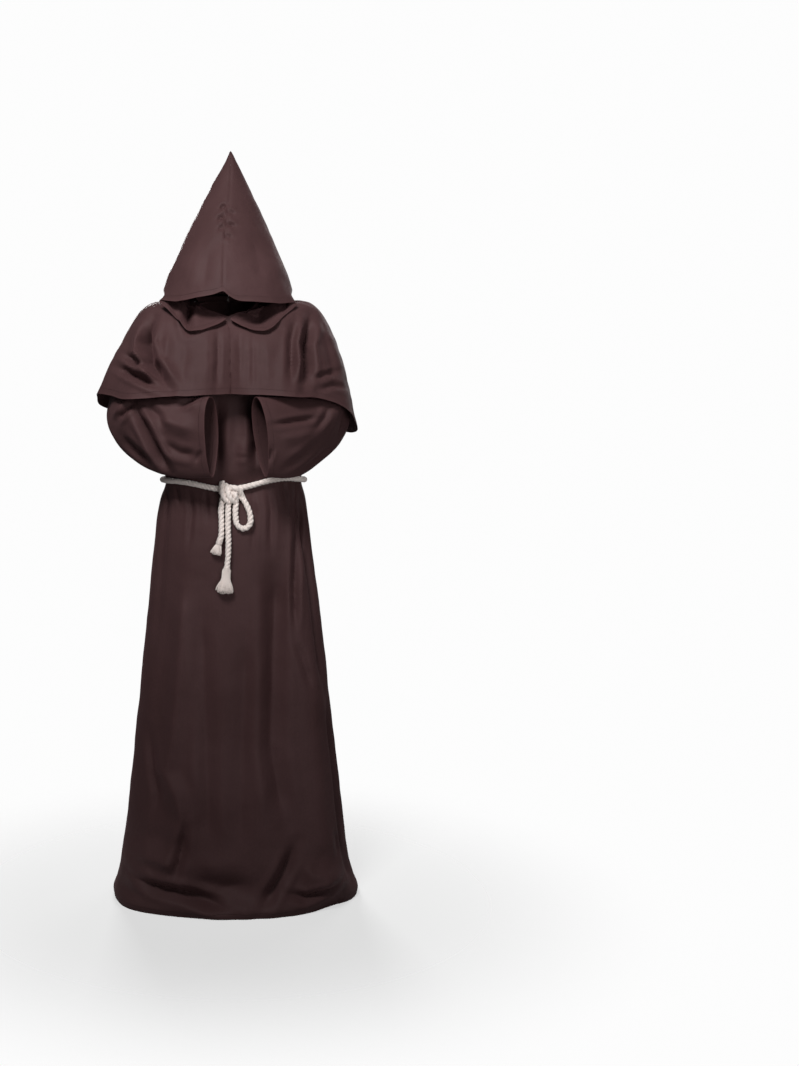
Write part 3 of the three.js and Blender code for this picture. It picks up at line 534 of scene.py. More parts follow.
def give_thickness(piece, turn):
    """The sheet's wall: its faces are turned outwards, and its thickness goes inwards."""
    bpy.context.view_layer.objects.active = piece
    bpy.ops.object.mode_set(mode="EDIT")
    bpy.ops.mesh.select_all(action="SELECT")
    if turn < 0:
        bpy.ops.mesh.flip_normals()
    bpy.ops.object.mode_set(mode="OBJECT")
    wall = piece.modifiers.new("wall", "SOLIDIFY")
    wall.thickness = CLOTH_THICKNESS * MM
    wall.offset = -1
    bpy.ops.object.modifier_apply(modifier=wall.name)
    bpy.ops.object.shade_smooth_by_angle(angle=math.radians(CLOTH_SMOOTH))


def cut_armholes(robe):
    """The two oval holes into which the sleeves are set."""
    for side in (-1, 1):
        bpy.ops.mesh.primitive_cylinder_add(
            vertices=64, radius=1, depth=ARMHOLE["length"] * MM,
            location=(side * ARMHOLE["middle"] * MM, 0, ARMHOLE["height"] * MM),
        )
        hole = bpy.context.object
        hole.rotation_euler = (0, math.radians(90), 0)
        hole.scale = (ARMHOLE["half_height"] * MM, ARMHOLE["half_depth"] * MM, 1)
        cutter = robe.modifiers.new("armhole", "BOOLEAN")
        cutter.operation = "DIFFERENCE"
        cutter.object = hole
        bpy.context.view_layer.objects.active = robe
        bpy.ops.object.modifier_apply(modifier=cutter.name)
        bpy.data.objects.remove(hole)


def uv_of(tree, name):
    node = tree.nodes.new("ShaderNodeUVMap")
    node.uv_map = name
    return node.outputs["UV"]


def stretched(tree, vector, scale):
    node = tree.nodes.new("ShaderNodeMapping")
    node.inputs["Scale"].default_value = scale
    tree.links.new(vector, node.inputs["Vector"])
    return node.outputs["Vector"]


def noise_of(tree, vector, scale, detail):
    node = tree.nodes.new("ShaderNodeTexNoise")
    node.inputs["Scale"].default_value = scale
    node.inputs["Detail"].default_value = detail
    tree.links.new(vector, node.inputs["Vector"])
    return node.outputs["Fac"]


def ramp_of(tree, value, stops):
    """A value turned into a colour between two stops."""
    node = tree.nodes.new("ShaderNodeValToRGB")
    for element, (position, colour) in zip(node.color_ramp.elements, stops):
        element.position = position
        element.color = (*colour, 1)
    tree.links.new(value, node.inputs["Fac"])
    return node.outputs["Color"]


def tinted(tree, colour, tint, share=1.0):
    node = tree.nodes.new("ShaderNodeMix")
    node.data_type = "RGBA"
    node.blend_type = "MULTIPLY"
    node.inputs["Factor"].default_value = share
    tree.links.new(colour, node.inputs["A"])
    tree.links.new(tint, node.inputs["B"])
    return node.outputs["Result"]


def math_of(tree, operation, first, second=0):
    node = tree.nodes.new("ShaderNodeMath")
    node.operation = operation
    for socket, value in zip(node.inputs, (first, second)):
        if isinstance(value, (int, float)):
            socket.default_value = value
        else:
            tree.links.new(value, socket)
    return node.outputs["Value"]


def set_relief(tree, shader, reliefs):
    """The shader's normal from several heights, one on top of the other: (height, distance, strength)."""
    normal = None
    for height, distance, strength in reliefs:
        node = tree.nodes.new("ShaderNodeBump")
        node.inputs["Distance"].default_value = distance
        node.inputs["Strength"].default_value = strength
        tree.links.new(height, node.inputs["Height"])
        if normal is not None:
            tree.links.new(normal, node.inputs["Normal"])
        normal = node.outputs["Normal"]
    tree.links.new(normal, shader.inputs["Normal"])


def habit_cloth():
    """Dark brown polyester: a fine plain weave with slubs along the warp, a faint satin sheen, small rumples,
    a little wear along the hems, and one row of stitches beside each hem."""
    material, shader = new_material("habit cloth", {
        "Sheen Weight": 0.08, "Sheen Roughness": 0.5, "Sheen Tint": (0.85, 0.42, 0.44, 1),
        "Specular IOR Level": 0.1,
    })
    tree = material.node_tree
    cut = uv_of(tree, "cut")
    place = tree.nodes.new("ShaderNodeTexCoord").outputs["Object"]
    slub = noise_of(tree, stretched(tree, cut, (420, 9, 1)), 1, 3)
    colour = ramp_of(tree, noise_of(tree, place, 4, 5), [(0.3, CLOTH_DARK), (0.72, CLOTH_LIGHT)])
    streak = ramp_of(tree, slub, [(0.25, (0.66, 0.64, 0.64)), (0.75, (1.22, 1.2, 1.2))])
    colour = tinted(tree, colour, streak, 0.14)

    # The hem's map gives the way along the stitches and the distance from the hem, both in metres
    apart = tree.nodes.new("ShaderNodeSeparateXYZ")
    tree.links.new(uv_of(tree, "hem"), apart.inputs["Vector"])
    beside = math_of(tree, "ABSOLUTE", math_of(tree, "SUBTRACT", apart.outputs["Y"], HEM_STITCH["from_edge"]))
    on_row = math_of(tree, "LESS_THAN", beside, HEM_STITCH["width"])
    along_row = math_of(tree, "FRACT", math_of(tree, "DIVIDE", apart.outputs["X"], HEM_STITCH["pitch"]))
    stitch = math_of(tree, "MULTIPLY", on_row, math_of(tree, "LESS_THAN", along_row, HEM_STITCH["share"]))
    worn = ramp_of(tree, apart.outputs["Y"], [(0.0, (1.2, 1.17, 1.17)), (0.005, (1.0, 1.0, 1.0))])
    thread = ramp_of(tree, stitch, [(0.4, (1.0, 1.0, 1.0)), (0.6, (0.62, 0.6, 0.6))])
    tree.links.new(tinted(tree, tinted(tree, colour, worn), thread), shader.inputs["Base Color"])
    tree.links.new(ranged(tree, slub, 0.5, 0.66), shader.inputs["Roughness"])

    yarns = []
    for direction in ("X", "Y"):
        yarn = tree.nodes.new("ShaderNodeTexWave")
        yarn.bands_direction = direction
        yarn.inputs["Scale"].default_value = 420
        yarn.inputs["Distortion"].default_value = 0.6
        tree.links.new(cut, yarn.inputs["Vector"])
        yarns.append(yarn.outputs["Fac"])
    set_relief(tree, shader, [
        (math_of(tree, "MULTIPLY", *yarns), 0.00012, 0.5),
        (noise_of(tree, place, 16, 2), 0.004, 0.2),
        (noise_of(tree, place, 70, 6), 0.0014, 0.5),
        (stitch, 0.0004, 0.8),
    ])
    return material


def finish_piece(piece, node, material):
    piece.data.materials.clear()
    piece.data.materials.append(material)
    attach(piece, "root")
    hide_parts(node)


def finish_cloth(piece, node, flat, area, held, rests_on):
    finish_piece(piece, node, cloth)


cloth = habit_cloth()
for panel, turn in (("front", -1), ("back", 1)):
    degrees = np.linspace(-90, 90, ROBE_COLUMNS)[None, :]
    grid = robe_surface(panel, degrees, robe_heights())
    grid = creased(grid, turn, ROBE_CREASES[panel], turn)
    grid = rumpled(grid, turn, ROBE_RUMPLES)
    grid = with_allowance(grid, turn, SEAM_ALLOWANCE)
    grid[..., 2] = np.maximum(grid[..., 2], ROBE_BOTTOM)
    robe = cloth_grid("robe_" + panel + "_cloth", grid)
    give_thickness(robe, turn)
    cut_armholes(robe)
    finish_cloth(robe, "robe_" + panel, held="hung", rests_on=ROBE_RESTS_ON, **ROBE_CUT)


# Sleeves. Each is one wide bell of the same polyester, set into its armhole. Here they are bent at the elbow
# as on folded arms, so the cloth hangs from the forearm and the cuffs face each other, wide open.
def evenly(rows):
    """The rows with a column "at" that goes evenly from 0 in the first row to 1 in the last."""
    return [dict(row, at=i / (len(rows) - 1)) for i, row in enumerate(rows)]


SLEEVE_CUT = {"flat": (0.42, 0.6), "area": 0.2}
SLEEVE_COLUMNS = 145
SLEEVE_ROWS = 150
SLEEVE_MERGE = 1e-5
SLEEVE_SIDES = table(
    "name sign elbow_shift cuff_shift drop_shift",
    ("right", -1, -4, 13, 0),
    ("left", 1, -7, 10, 26),
)
# From the armhole to the cuff: the upper and the lower edge of the sleeve, its width and how it narrows below
SLEEVE_SECTIONS = evenly(table(
    "crook_x crook_y crook_z drop_x drop_y drop_z width pinch",
    (176, -58, -112, 176, 58, -112, 60, 0),
    (212, -80, -150, 220, 68, -150, 50, 0),
    (216, -98, -202, 252, 46, -218, 42, 0),
    (208, -108, -234, 278, 8, -294, 42, 0.05),
    (194, -126, -240, 260, -38, -344, 47, 0.15),
    (170, -144, -238, 214, -84, -389, 49, 0.25),
    (138, -164, -237, 164, -128, -414, 47, 0.35),
    (98, -186, -238, 112, -168, -423, 42, 0.4),
    (54, -210, -238, 50, -206, -419, 36, 0.3),
))
SLEEVE_JOIN = 0.1
SLEEVE_STEP = 0.02
ELBOW_BY = 0.3
CUFF_FROM = 0.6
UNDERARM_CLEARANCE = 10
SEAM_GAP = 0.3
ROBE_SHOULDER_LEAN = -4
SLEEVE_FOLDS = table(
    "at width depth centre spread",
    (250, 26, -7, 0.44, 0.13),
    (292, 20, 6, 0.52, 0.12),
    (225, 20, -6, 0.64, 0.12),
    (262, 26, 5, 0.78, 0.1),
    (130, 24, -6, 0.5, 0.12),
    (95, 20, 5, 0.7, 0.14),
)
SLEEVE_CREASES = {
    "right": table(
        "width depth route",
        (9, -34, [(-223, -254), (-202, -295), (-182, -336), (-160, -376), (-137, -412)]),
        (7, -17, [(-225, -250), (-245, -270), (-266, -293)]),
        (17, 13, [(-182, -286), (-126, -299), (-74, -315)]),
        (7, -12, [(-123, -263), (-76, -236)]),
        (5, -7, [(-80, -390), (-65, -356)]),
        (8, -13, [(-252, -326), (-223, -358), (-187, -388)]),
        (9, -9, [(-160, -340), (-114, -365), (-69, -372)]),
        (9, -12, [(-200, -254), (-164, -281), (-146, -317)]),
    ),
    "left": table(
        "width depth route",
        (6, -9, [(87, -302), (146, -293), (207, -284)]),
        (9, -10, [(265, -265), (263, -299), (247, -336)]),
        (8, -7, [(209, -336), (159, -376), (118, -403)]),
        (6, -6, [(240, -349), (200, -381), (157, -406)]),
        (12, 5, [(107, -331), (157, -326), (195, -313)]),
        (5, -6, [(85, -390), (94, -351)]),
        (7, -8, [(227, -252), (218, -284), (191, -315)]),
    ),
}
SLEEVE_RUMPLES = {
    "right": table("height size seed", (2.0, 60, 16)),
    "left": table("height size seed", (2.0, 60, 18)),
}
RUMPLES_FROM = {"start": 0.1, "end": 0.25}


def half_turns(degrees):
    """The same angles, from -180 to 180 degrees."""
    return (degrees + 180) % 360 - 180


def robe_side_at(y, z):
    front = curve_along(ROBE_SECTIONS, "height", z, "front")
    back = curve_along(ROBE_SECTIONS, "height", z, "back")
    cosine = np.minimum(1, np.abs(y) / np.where(y < 0, front, back)) ** (1 / ROBE_SQUARENESS)
    return curve_along(ROBE_SECTIONS, "height", z, "across") * (1 - cosine**2) ** (ROBE_SQUARENESS / 2)


def sleeve_edges(v):
    crook = points_along(SLEEVE_SECTIONS, "at", v, ("crook_x", "crook_y", "crook_z"))
    drop = points_along(SLEEVE_SECTIONS, "at", v, ("drop_x", "drop_y", "drop_z"))
    return crook, drop


def sleeve_surface(side, degrees, v):
    """Points of a sleeve in mm: degrees go round it from its upper edge, and v goes from armhole to cuff."""
    crook, drop = sleeve_edges(v)
    ahead = sum(sleeve_edges(np.minimum(v + SLEEVE_STEP, 1)))
    ahead = ahead - sum(sleeve_edges(np.maximum(v - SLEEVE_STEP, 0)))
    reach = (crook - drop) / 2
    across = unit(-np.cross(ahead, reach))
    cosine = np.cos(np.radians(degrees))
    sine = np.sin(np.radians(degrees))
    out = np.zeros(np.broadcast(degrees, v).shape)
    for fold in SLEEVE_FOLDS:
        away = half_turns(degrees + fold["at"])
        out = out + fold["depth"] * bump(away, fold["width"]) * bump(v - fold["centre"], fold["spread"])
    pinch = curve_along(SLEEVE_SECTIONS, "at", v, "pinch")
    width = curve_along(SLEEVE_SECTIONS, "at", v, "width") * (1 - pinch * (1 - cosine) / 2)
    along_reach = cosine * (1 + out / np.linalg.norm(reach, axis=-1))
    points = (crook + drop) / 2 + reach * along_reach[..., None] + across * (sine * (width + out))[..., None]
    ring_y = -ARMHOLE["half_depth"] * cosine
    ring_z = ARMHOLE["height"] + ARMHOLE["half_height"] * sine
    ring = np.stack(np.broadcast_arrays(robe_side_at(ring_y, ring_z), ring_y, ring_z), axis=-1)
    joined = ease(v, 0, SLEEVE_JOIN)[..., None]
    points = ring * (1 - joined) + points * joined
    clearance = 2 * SEAM_GAP + UNDERARM_CLEARANCE * joined[..., 0]
    points[..., 0] = np.maximum(points[..., 0], robe_side_at(points[..., 1], points[..., 2]) + clearance)
    elbow = ease(v, 0, ELBOW_BY)
    cuff_shift = side["cuff_shift"] + side["drop_shift"] * (1 - cosine) / 2
    shift = ROBE_SHOULDER_LEAN * (1 - elbow) + side["elbow_shift"] * elbow
    shift = shift + cuff_shift * ease(v, CUFF_FROM, 1)
    points[..., 0] = side["sign"] * points[..., 0] + shift
    return points


for side in SLEEVE_SIDES:
    name, turn = side["name"], -side["sign"]
    degrees = np.linspace(0, 360, SLEEVE_COLUMNS)[None, :]
    rows = np.linspace(0, 1, SLEEVE_ROWS)[:, None]
    grid = sleeve_surface(side, degrees, rows)
    grid = creased(grid, turn, SLEEVE_CREASES[name], -1)
    share = ease(rows, RUMPLES_FROM["start"], RUMPLES_FROM["end"])[..., None]
    grid = grid * (1 - share) + rumpled(grid, turn, SLEEVE_RUMPLES[name]) * share
    grid[:, -1] = grid[:, 0]
    sleeve = cloth_grid("sleeve_" + name + "_cloth", grid)
    merge_points(SLEEVE_MERGE)
    give_thickness(sleeve, turn)
    finish_cloth(sleeve, "sleeve_" + name, held="hung", rests_on=["robe_front_cloth"], **SLEEVE_CUT)


# Cape. Two halves of the same cloth meet in a seam at the middle of the front and of the back. The cape is
# sewn to the hood at the neck, lies over the shoulders, and falls in deep flutes behind.
CAPE_CUT = {"flat": (0.85, 0.42), "area": 0.25}
CAPE_RESTS_ON = ["robe_front_cloth", "robe_back_cloth"]
CAPE_COLUMNS = 200
CAPE_ROWS = 96
CAPE_CENTRE = -5
CAPE_BELOW_SEAM = 1.6
SEAM_TOUCH = 0.04
CAPE_SEAM = {"reach": 4, "depth": 1.3, "pitch": 5}
# Puckers along a seam: two waves of unlike pitch, strongest a little way from the thread
PUCKER = {
    "wave": 0.6, "slow_wave": 0.4, "slower": 0.37, "shift": 1.3, "share": 0.35, "from_seam": 1.6, "width": 1.3,
}
# How far out and how high the cape lies at three levels below the neck, from the front (0) to the back (180)
CAPE_SECTIONS = {
    "left": table(
        "at shoulder_out shoulder_z middle_out middle_z hem_out hem_z",
        (0, 142, -98, 162, -165, 178, -231),
        (30, 164, -82, 204, -158, 236, -236),
        (60, 182, -40, 234, -134, 276, -250),
        (90, 197, -15, 260, -127, 304, -316),
        (120, 166, -18, 224, -144, 274, -318),
        (150, 128, -34, 158, -170, 178, -330),
        (180, 112, -42, 134, -180, 154, -334),
    ),
    "right": table(
        "at shoulder_out shoulder_z middle_out middle_z hem_out hem_z",
        (0, 142, -98, 162, -165, 178, -231),
        (30, 164, -82, 204, -158, 236, -236),
        (60, 182, -44, 236, -132, 284, -242),
        (90, 200, -17, 267, -119, 320, -230),
        (120, 168, -18, 228, -140, 286, -284),
        (150, 128, -34, 158, -170, 180, -322),
        (180, 112, -42, 134, -180, 154, -334),
    ),
}
CAPE_LEVELS = {"neck": 0, "shoulder": 0.3, "middle": 0.62, "hem": 1}
CAPE_TUCK = {"in": 5, "up": 9}
HOOD_LEAN = -6
LEAN_FADE = {"start": 0.02, "end": 0.22}
# Flutes: degrees from the front towards the left at the neck and at the hem, width in degrees, depth in mm
CAPE_WAVES = table(
    "top hem width depth",
    (178, 166, 7, 27),
    (150, 153, 6, -12),
    (142, 140, 7, 26),
    (124, 124, 6, -10),
    (110, 110, 8, 18),
    (74, 70, 8, 7),
    (52, 50, 7, -8),
    (36, 34, 8, 6),
    (10, 11, 7, 5),
    (-20, -22, 8, 6),
    (-50, -54, 7, 8),
    (-66, -72, 8, -9),
    (-102, -104, 8, 18),
    (-118, -119, 6, -12),
    (-134, -134, 7, 25),
    (-146, -147, 5, -11),
    (-160, -161, 7, 24),
    (-172, -175, 5, -12),
)
WAVE_START = 0.12
WAVE_POWER = 1.2
WAVE_DROP = 0.18
CAPE_CREASES = {
    "front": table(
        "width depth route",
        (11, -50, [(-180, -52), (-191, -84), (-197, -110), (-184, -156), (-161, -192), (-136, -220)]),
        (11, 12, [(-216, -76), (-218, -131), (-200, -177)]),
        (8, -26, [(-270, -165), (-229, -186), (-193, -202), (-154, -220)]),
        (8, -20, [(-250, -135), (-220, -156), (-191, -167)]),
        (11, -36, [(188, -44), (183, -80), (172, -115), (176, -165), (167, -222)]),
        (9, -15, [(151, -56), (142, -108), (140, -149), (135, -218)]),
        (7, 6, [(167, -58), (156, -120), (154, -213)]),
        (6, -8, [(183, -199), (218, -186), (259, -174)]),
        (6, -7, [(199, -224), (236, -211), (270, -215)]),
        (9, -6, [(218, -85), (233, -142), (245, -195)]),
        (13, 5, [(-52, -74), (-54, -154), (-52, -224)]),
        (6, -6, [(-29, -81), (-29, -154), (-31, -227)]),
        (7, 4, [(21, -76), (21, -227)]),
        (6, -4, [(51, -97), (51, -227)]),
        (9, 3, [(81, -108), (85, -222)]),
        (12, -5, [(-102, -99), (-109, -220)]),
        (10, 8, [(-143, -67), (-147, -154), (-124, -220)]),
        (11, -42, [(-96, -6), (-99, -50), (-95, -84)]),
        (22, -34, [(60, -6), (64, -50), (62, -80)]),
    ),
    "back": table(
        "width depth route",
        (11, 8, [(192, -64), (163, -164), (139, -300)]),
        (7, -9, [(214, -83), (180, -180), (156, -300)]),
        (9, -9, [(132, -88), (118, -261)]),
        (10, 9, [(29, -16), (74, -157), (118, -298)]),
        (8, -13, [(-5, -41), (24, -175), (58, -307)]),
        (5, 4, [(0, -64), (26, -316)]),
        (6, -7, [(-19, -106), (-24, -307)]),
        (8, 6, [(-46, -41), (-41, -325)]),
        (6, -5, [(-70, -83), (-70, -318)]),
        (9, 4, [(-94, -106), (-96, -263)]),
        (8, 4, [(-125, -106), (-132, -254)]),
        (7, 5, [(-154, -134), (-156, -300)]),
        (8, -12, [(-185, -83), (-187, -298)]),
        (8, -6, [(-223, -129), (-233, -249)]),
        (9, -5, [(247, -134), (242, -263)]),
    ),
}
CAPE_RUMPLES = table("height size seed", (2.2, 50, 29), (1.0, 22, 31))


def drawn_in(points, turn, reach, depth, pitch):
    """The cloth dips beside its seams in the first and last columns, with small puckers along the thread."""
    for side in (0, -1):
        away = np.linalg.norm(points - points[:, [side]], axis=-1)
        run = run_along(points[:, side])[:, None]
        pucker = PUCKER["wave"] * np.sin(run / pitch)
        pucker = pucker + PUCKER["slow_wave"] * np.sin(run / pitch * PUCKER["slower"] + PUCKER["shift"])
        beside = bump(away - PUCKER["from_seam"] * reach, PUCKER["width"] * reach)
        dip = depth * bump(away, reach) + PUCKER["share"] * depth * pucker * beside
        dip[:, side] = depth
        points = points - outward(points, turn) * dip[..., None]
    return points


def sewn_half(points, sign, seam, allowance):
    """A half with its two middle seams drawn in, and with seam allowances close to the other half's."""
    points = drawn_in(points, -sign, **seam)
    points[..., 0] = sign * np.maximum(sign * points[..., 0], SEAM_TOUCH)
    points[:, [0, -1], 0] = sign * SEAM_TOUCH
    points = with_allowance(points, -sign, allowance)
    points[:, [0, -1], 0] = sign * SEAM_TOUCH
    return points


def cape_surface(name, sign, degrees, t):
    """Points of half a cape in mm: degrees go from the front to the back, and t from the neck to the hem."""
    rows = CAPE_SECTIONS[name]
    radial = np.stack([np.sin(np.radians(degrees)), -np.cos(np.radians(degrees)), 0 * degrees], axis=-1)
    knots = {"neck": neck_seam(degrees) - np.array([0, 0, CAPE_BELOW_SEAM])}
    for level in ("shoulder", "middle", "hem"):
        out = curve_along(rows, "at", degrees, level + "_out")[..., None]
        height = curve_along(rows, "at", degrees, level + "_z")[..., None] * np.array([0, 0, 1.0])
        knots[level] = np.array([0, CAPE_CENTRE, 0.0]) + radial * out + height
    points = np.zeros(np.broadcast(degrees, t).shape + (3,))
    for axis in range(3):
        for column in range(degrees.shape[1]):
            levels = [{"at": at, "value": knots[level][0, column, axis]} for level, at in CAPE_LEVELS.items()]
            points[:, column, axis] = curve_along(levels, "at", t[:, 0], "value")
    out = np.zeros(points.shape[:2])
    for wave in CAPE_WAVES:
        away = half_turns(sign * degrees - (wave["top"] + (wave["hem"] - wave["top"]) * t))
        out = out + wave["depth"] * bump(away, wave["width"]) * ease(t, WAVE_START, 1) ** WAVE_POWER
    points = points + radial * out[..., None]
    points[..., 0] = sign * np.maximum(points[..., 0], 0)
    points[..., 2] -= WAVE_DROP * out
    neck = knots["neck"]
    tucked = neck * (1 - CAPE_TUCK["in"] / np.linalg.norm(neck, axis=-1, keepdims=True))
    tucked = tucked * np.array([sign, 1, 1]) + np.array([0, 0, CAPE_TUCK["up"]])
    return np.concatenate([tucked, points], axis=0)


for side in SLEEVE_SIDES:
    name, sign = side["name"], side["sign"]
    degrees = np.linspace(0, 180, CAPE_COLUMNS)[None, :]
    rows = np.linspace(0, 1, CAPE_ROWS)[:, None]
    grid = cape_surface(name, sign, degrees, rows)
    grid = creased(grid, -sign, CAPE_CREASES["front"], -1)
    grid = creased(grid, -sign, CAPE_CREASES["back"], 1)
    grid = rumpled(grid, -sign, CAPE_RUMPLES)
    grid = sewn_half(grid, sign, CAPE_SEAM, SEAM_ALLOWANCE)
    down = np.insert(rows, 0, 0, axis=0)
    grid[..., 0] += HOOD_LEAN * (1 - ease(down, LEAN_FADE["start"], LEAN_FADE["end"]))
    cape = cloth_grid("cape_" + name + "_cloth", grid)
    give_thickness(cape, -sign)
    finish_cloth(cape, "cape_" + name, held="draped", rests_on=CAPE_RESTS_ON, **CAPE_CUT)


# Hood. Two halves of the same cloth are joined by one seam that runs from the face edge over the tall peak
# down to the neck. The lower front corners turn back and lie over the cape as a soft collar.
HOOD_CUT = {"flat": (0.5, 0.5), "area": 0.13}
HOOD_COLUMNS = 150
HOOD_ROWS = 130
HOOD_MERGE = 1e-6
HOOD_SEAM = {"reach": 4, "depth": 1.5, "pitch": 6}
HOOD_ALLOWANCE = {"start": 0.02, "end": 0.1}
HOOD_PEAK = 356
HOOD_TURN = 20
HOOD_TURN_STEP = 20
HOOD_TURN_AT = 0.72
HOOD_TURN_REACH = 22
HOOD_TURN_SHARE = 0.4
HOOD_ROUNDNESS = 1.12
SEAM_LEAN = {"shift": -11, "reach": 70, "front_from": 30, "front_to": 150, "bottom": -45, "top": 0}
HOOD_RINGS = table(
    "height across front back middle",
    (356, 2.5, 9, 15, 12),
    (330, 14, -4, 26, 11),
    (275, 42, -38, 52, 6),
    (198, 79, -86, 82, -6),
    (121, 112, -128, 101, -20),
    (60, 140, -160, 107, -30),
    (20, 153, -176, 101, -36),
)
# Where the cloth ends below the turn: at the face edge, the collar's edge and then the neck seam
HOOD_ENDS = evenly(table(
    "ring x y right_z left_z",
    (0, 0, -184, 3, 3),
    (8, 26, -182, -5, -18),
    (24, 66, -172, -11, -21),
    (44, 116, -138, -17, -22),
    (66, 160, -86, -12, -18),
    (76, 134, -122, -41, -47),
    (86, 84, -166, -88, -88),
    (94, 6, -134, -60, -60),
    (108, 56, -88, -38, -38),
    (128, 80, -10, -9, -9),
    (155, 56, 52, 2, 2),
    (180, 0, 76, 5, 5),
))
HOOD_CREASES = {
    "front": table(
        "width depth route",
        (5, -8, [(-4, 212), (-22, 206)]),
        (5, -8, [(-4, 186), (-26, 176)]),
        (5, -6, [(-2, 158), (-20, 152)]),
        (5, -6, [(-2, 198), (20, 190)]),
        (5, -8, [(-2, 168), (24, 158)]),
        (5, -6, [(-2, 136), (18, 130)]),
        (22, 4.5, [(-60, 160), (-84, 90), (-100, 30)]),
        (20, -6, [(60, 150), (70, 80), (84, 20)]),
        (16, -4.5, [(-36, 110), (-44, 50), (-50, 0)]),
    ),
    # The collar shows the hood's inner side, so here a positive depth leads away from the front
    "collar": table(
        "width depth route",
        (9, 34, [(-92, -10), (-94, -50), (-90, -88)]),
        (20, 26, [(62, -10), (68, -50), (66, -80)]),
        (11, -5, [(118, -26), (122, -62)]),
    ),
    "back": table(
        "width depth route",
        (8, -7.5, [(-44, 43), (-74, 22), (-113, -8)]),
        (6, -6, [(14, 36), (30, 8)]),
        (9, 6, [(-30, 60), (-62, 48), (-100, 30)]),
        (10, -6, [(40, 60), (70, 30), (110, 10)]),
        (10, -4.5, [(-14, 200), (-20, 120), (-18, 60)]),
    ),
}
HOOD_RUMPLES = table("height size seed", (2.0, 55, 41), (0.9, 24, 43))


def hood_ring(degrees, height):
    across, front, back, middle = (
        curve_along(HOOD_RINGS, "height", height, column) for column in ("across", "front", "back", "middle")
    )
    cosine = np.cos(np.radians(degrees))
    deep = np.where(cosine > 0, middle - front, back - middle)
    x = across * np.abs(np.sin(np.radians(degrees))) ** HOOD_ROUNDNESS
    y = middle - deep * signed_power(cosine, HOOD_ROUNDNESS)
    return np.stack(np.broadcast_arrays(x, y, height), axis=-1)


def hood_surface(name, sign, u, t):
    """Points of half a hood in mm: u goes from the front seam to the back one, and t from the peak down."""
    ring = np.clip(curve_along(HOOD_ENDS, "at", u, "ring"), 0, 180)
    upper = hood_ring(ring, HOOD_PEAK + (HOOD_TURN - HOOD_PEAK) * np.minimum(t / HOOD_TURN_AT, 1))
    start = hood_ring(ring, np.full_like(ring, HOOD_TURN))
    before = hood_ring(ring, np.full_like(ring, HOOD_TURN + HOOD_TURN_STEP))
    end = points_along(HOOD_ENDS, "at", u, ("x", "y", name + "_z"))
    far = np.linalg.norm(end - start, axis=-1, keepdims=True)
    control = start + unit(start - before) * np.minimum(HOOD_TURN_REACH, far * HOOD_TURN_SHARE)
    s = np.clip((t - HOOD_TURN_AT) / (1 - HOOD_TURN_AT), 0, 1)[..., None]
    lower = start * (1 - s) ** 2 + 2 * control * s * (1 - s) + end * s**2
    points = np.where((t <= HOOD_TURN_AT)[..., None], upper, lower)
    points[..., 0] = sign * np.maximum(points[..., 0], 0)
    return points


def hood_lean(points):
    """How far the hood leans towards the habit's right, most of all along its front seam."""
    x, y, z = np.moveaxis(points, -1, 0)
    in_front = ease(-y, SEAM_LEAN["front_from"], SEAM_LEAN["front_to"])
    above_collar = ease(z, SEAM_LEAN["bottom"], SEAM_LEAN["top"])
    whole = HOOD_LEAN * ease(HOOD_PEAK - z, 0, HOOD_PEAK)
    return whole + SEAM_LEAN["shift"] * bump(x, SEAM_LEAN["reach"]) * in_front * above_collar


for side in SLEEVE_SIDES:
    name, sign = side["name"], side["sign"]
    columns = np.linspace(0, 1, HOOD_COLUMNS)[None, :]
    rows = np.linspace(0, 1, HOOD_ROWS)[:, None]
    grid = hood_surface(name, sign, columns, rows)
    grid[0, :] = grid[0, 0]
    for part, facing in (("front", -1), ("collar", 1), ("back", 1)):
        grid = creased(grid, -sign, HOOD_CREASES[part], facing)
    grid = rumpled(grid, -sign, HOOD_RUMPLES)
    allowance = SEAM_ALLOWANCE * ease(rows, HOOD_ALLOWANCE["start"], HOOD_ALLOWANCE["end"])
    grid = sewn_half(grid, sign, HOOD_SEAM, allowance)
    grid[0, :] = grid[0, 1]
    grid[..., 0] += hood_lean(grid)
    hood = cloth_grid("hood_" + name + "_cloth", grid)
    merge_points(HOOD_MERGE)
    give_thickness(hood, -sign)
    finish_cloth(hood, "hood_" + name, held="draped", rests_on=["cape_" + name + "_cloth"], **HOOD_CUT)


# Rope belt. One length of soft three-strand cotton rope, 13 mm thick, goes round the waist and is tied in
# front in a knot with one loop. Its two ends hang down, are whipped, and are teased out into full tufts.
ROPE_DIAMETER = 13
ROPE_RADIUS = 6.9
ROPE_LAY = 30
ROPE_REST = 1.2
ROPE_SIDES = 24
ROPE_STEP = 1.6
ROPE_MERGE = 1e-6
ROPE_SMOOTH = 70
ROUTE_FINENESS = 40
FEWEST_STEPS = 4
STRAND = {"count": 3, "groove": 0.32, "roundness": 0.8}
# Soft cotton rope isn't quite even: a share of its radius, how often it comes along the rope, and round it
ROPE_UNEVEN = {"share": 0.03, "pitch": 4.7, "turns": 2, "slow_share": 0.025, "slow_pitch": 11.3}
BELT_TURN = {"from": 2, "to": 358, "points": 120}
ROPE_CREAM = (0.93, 0.83, 0.78)
ROPE_SHADE = (0.9, 0.79, 0.74)


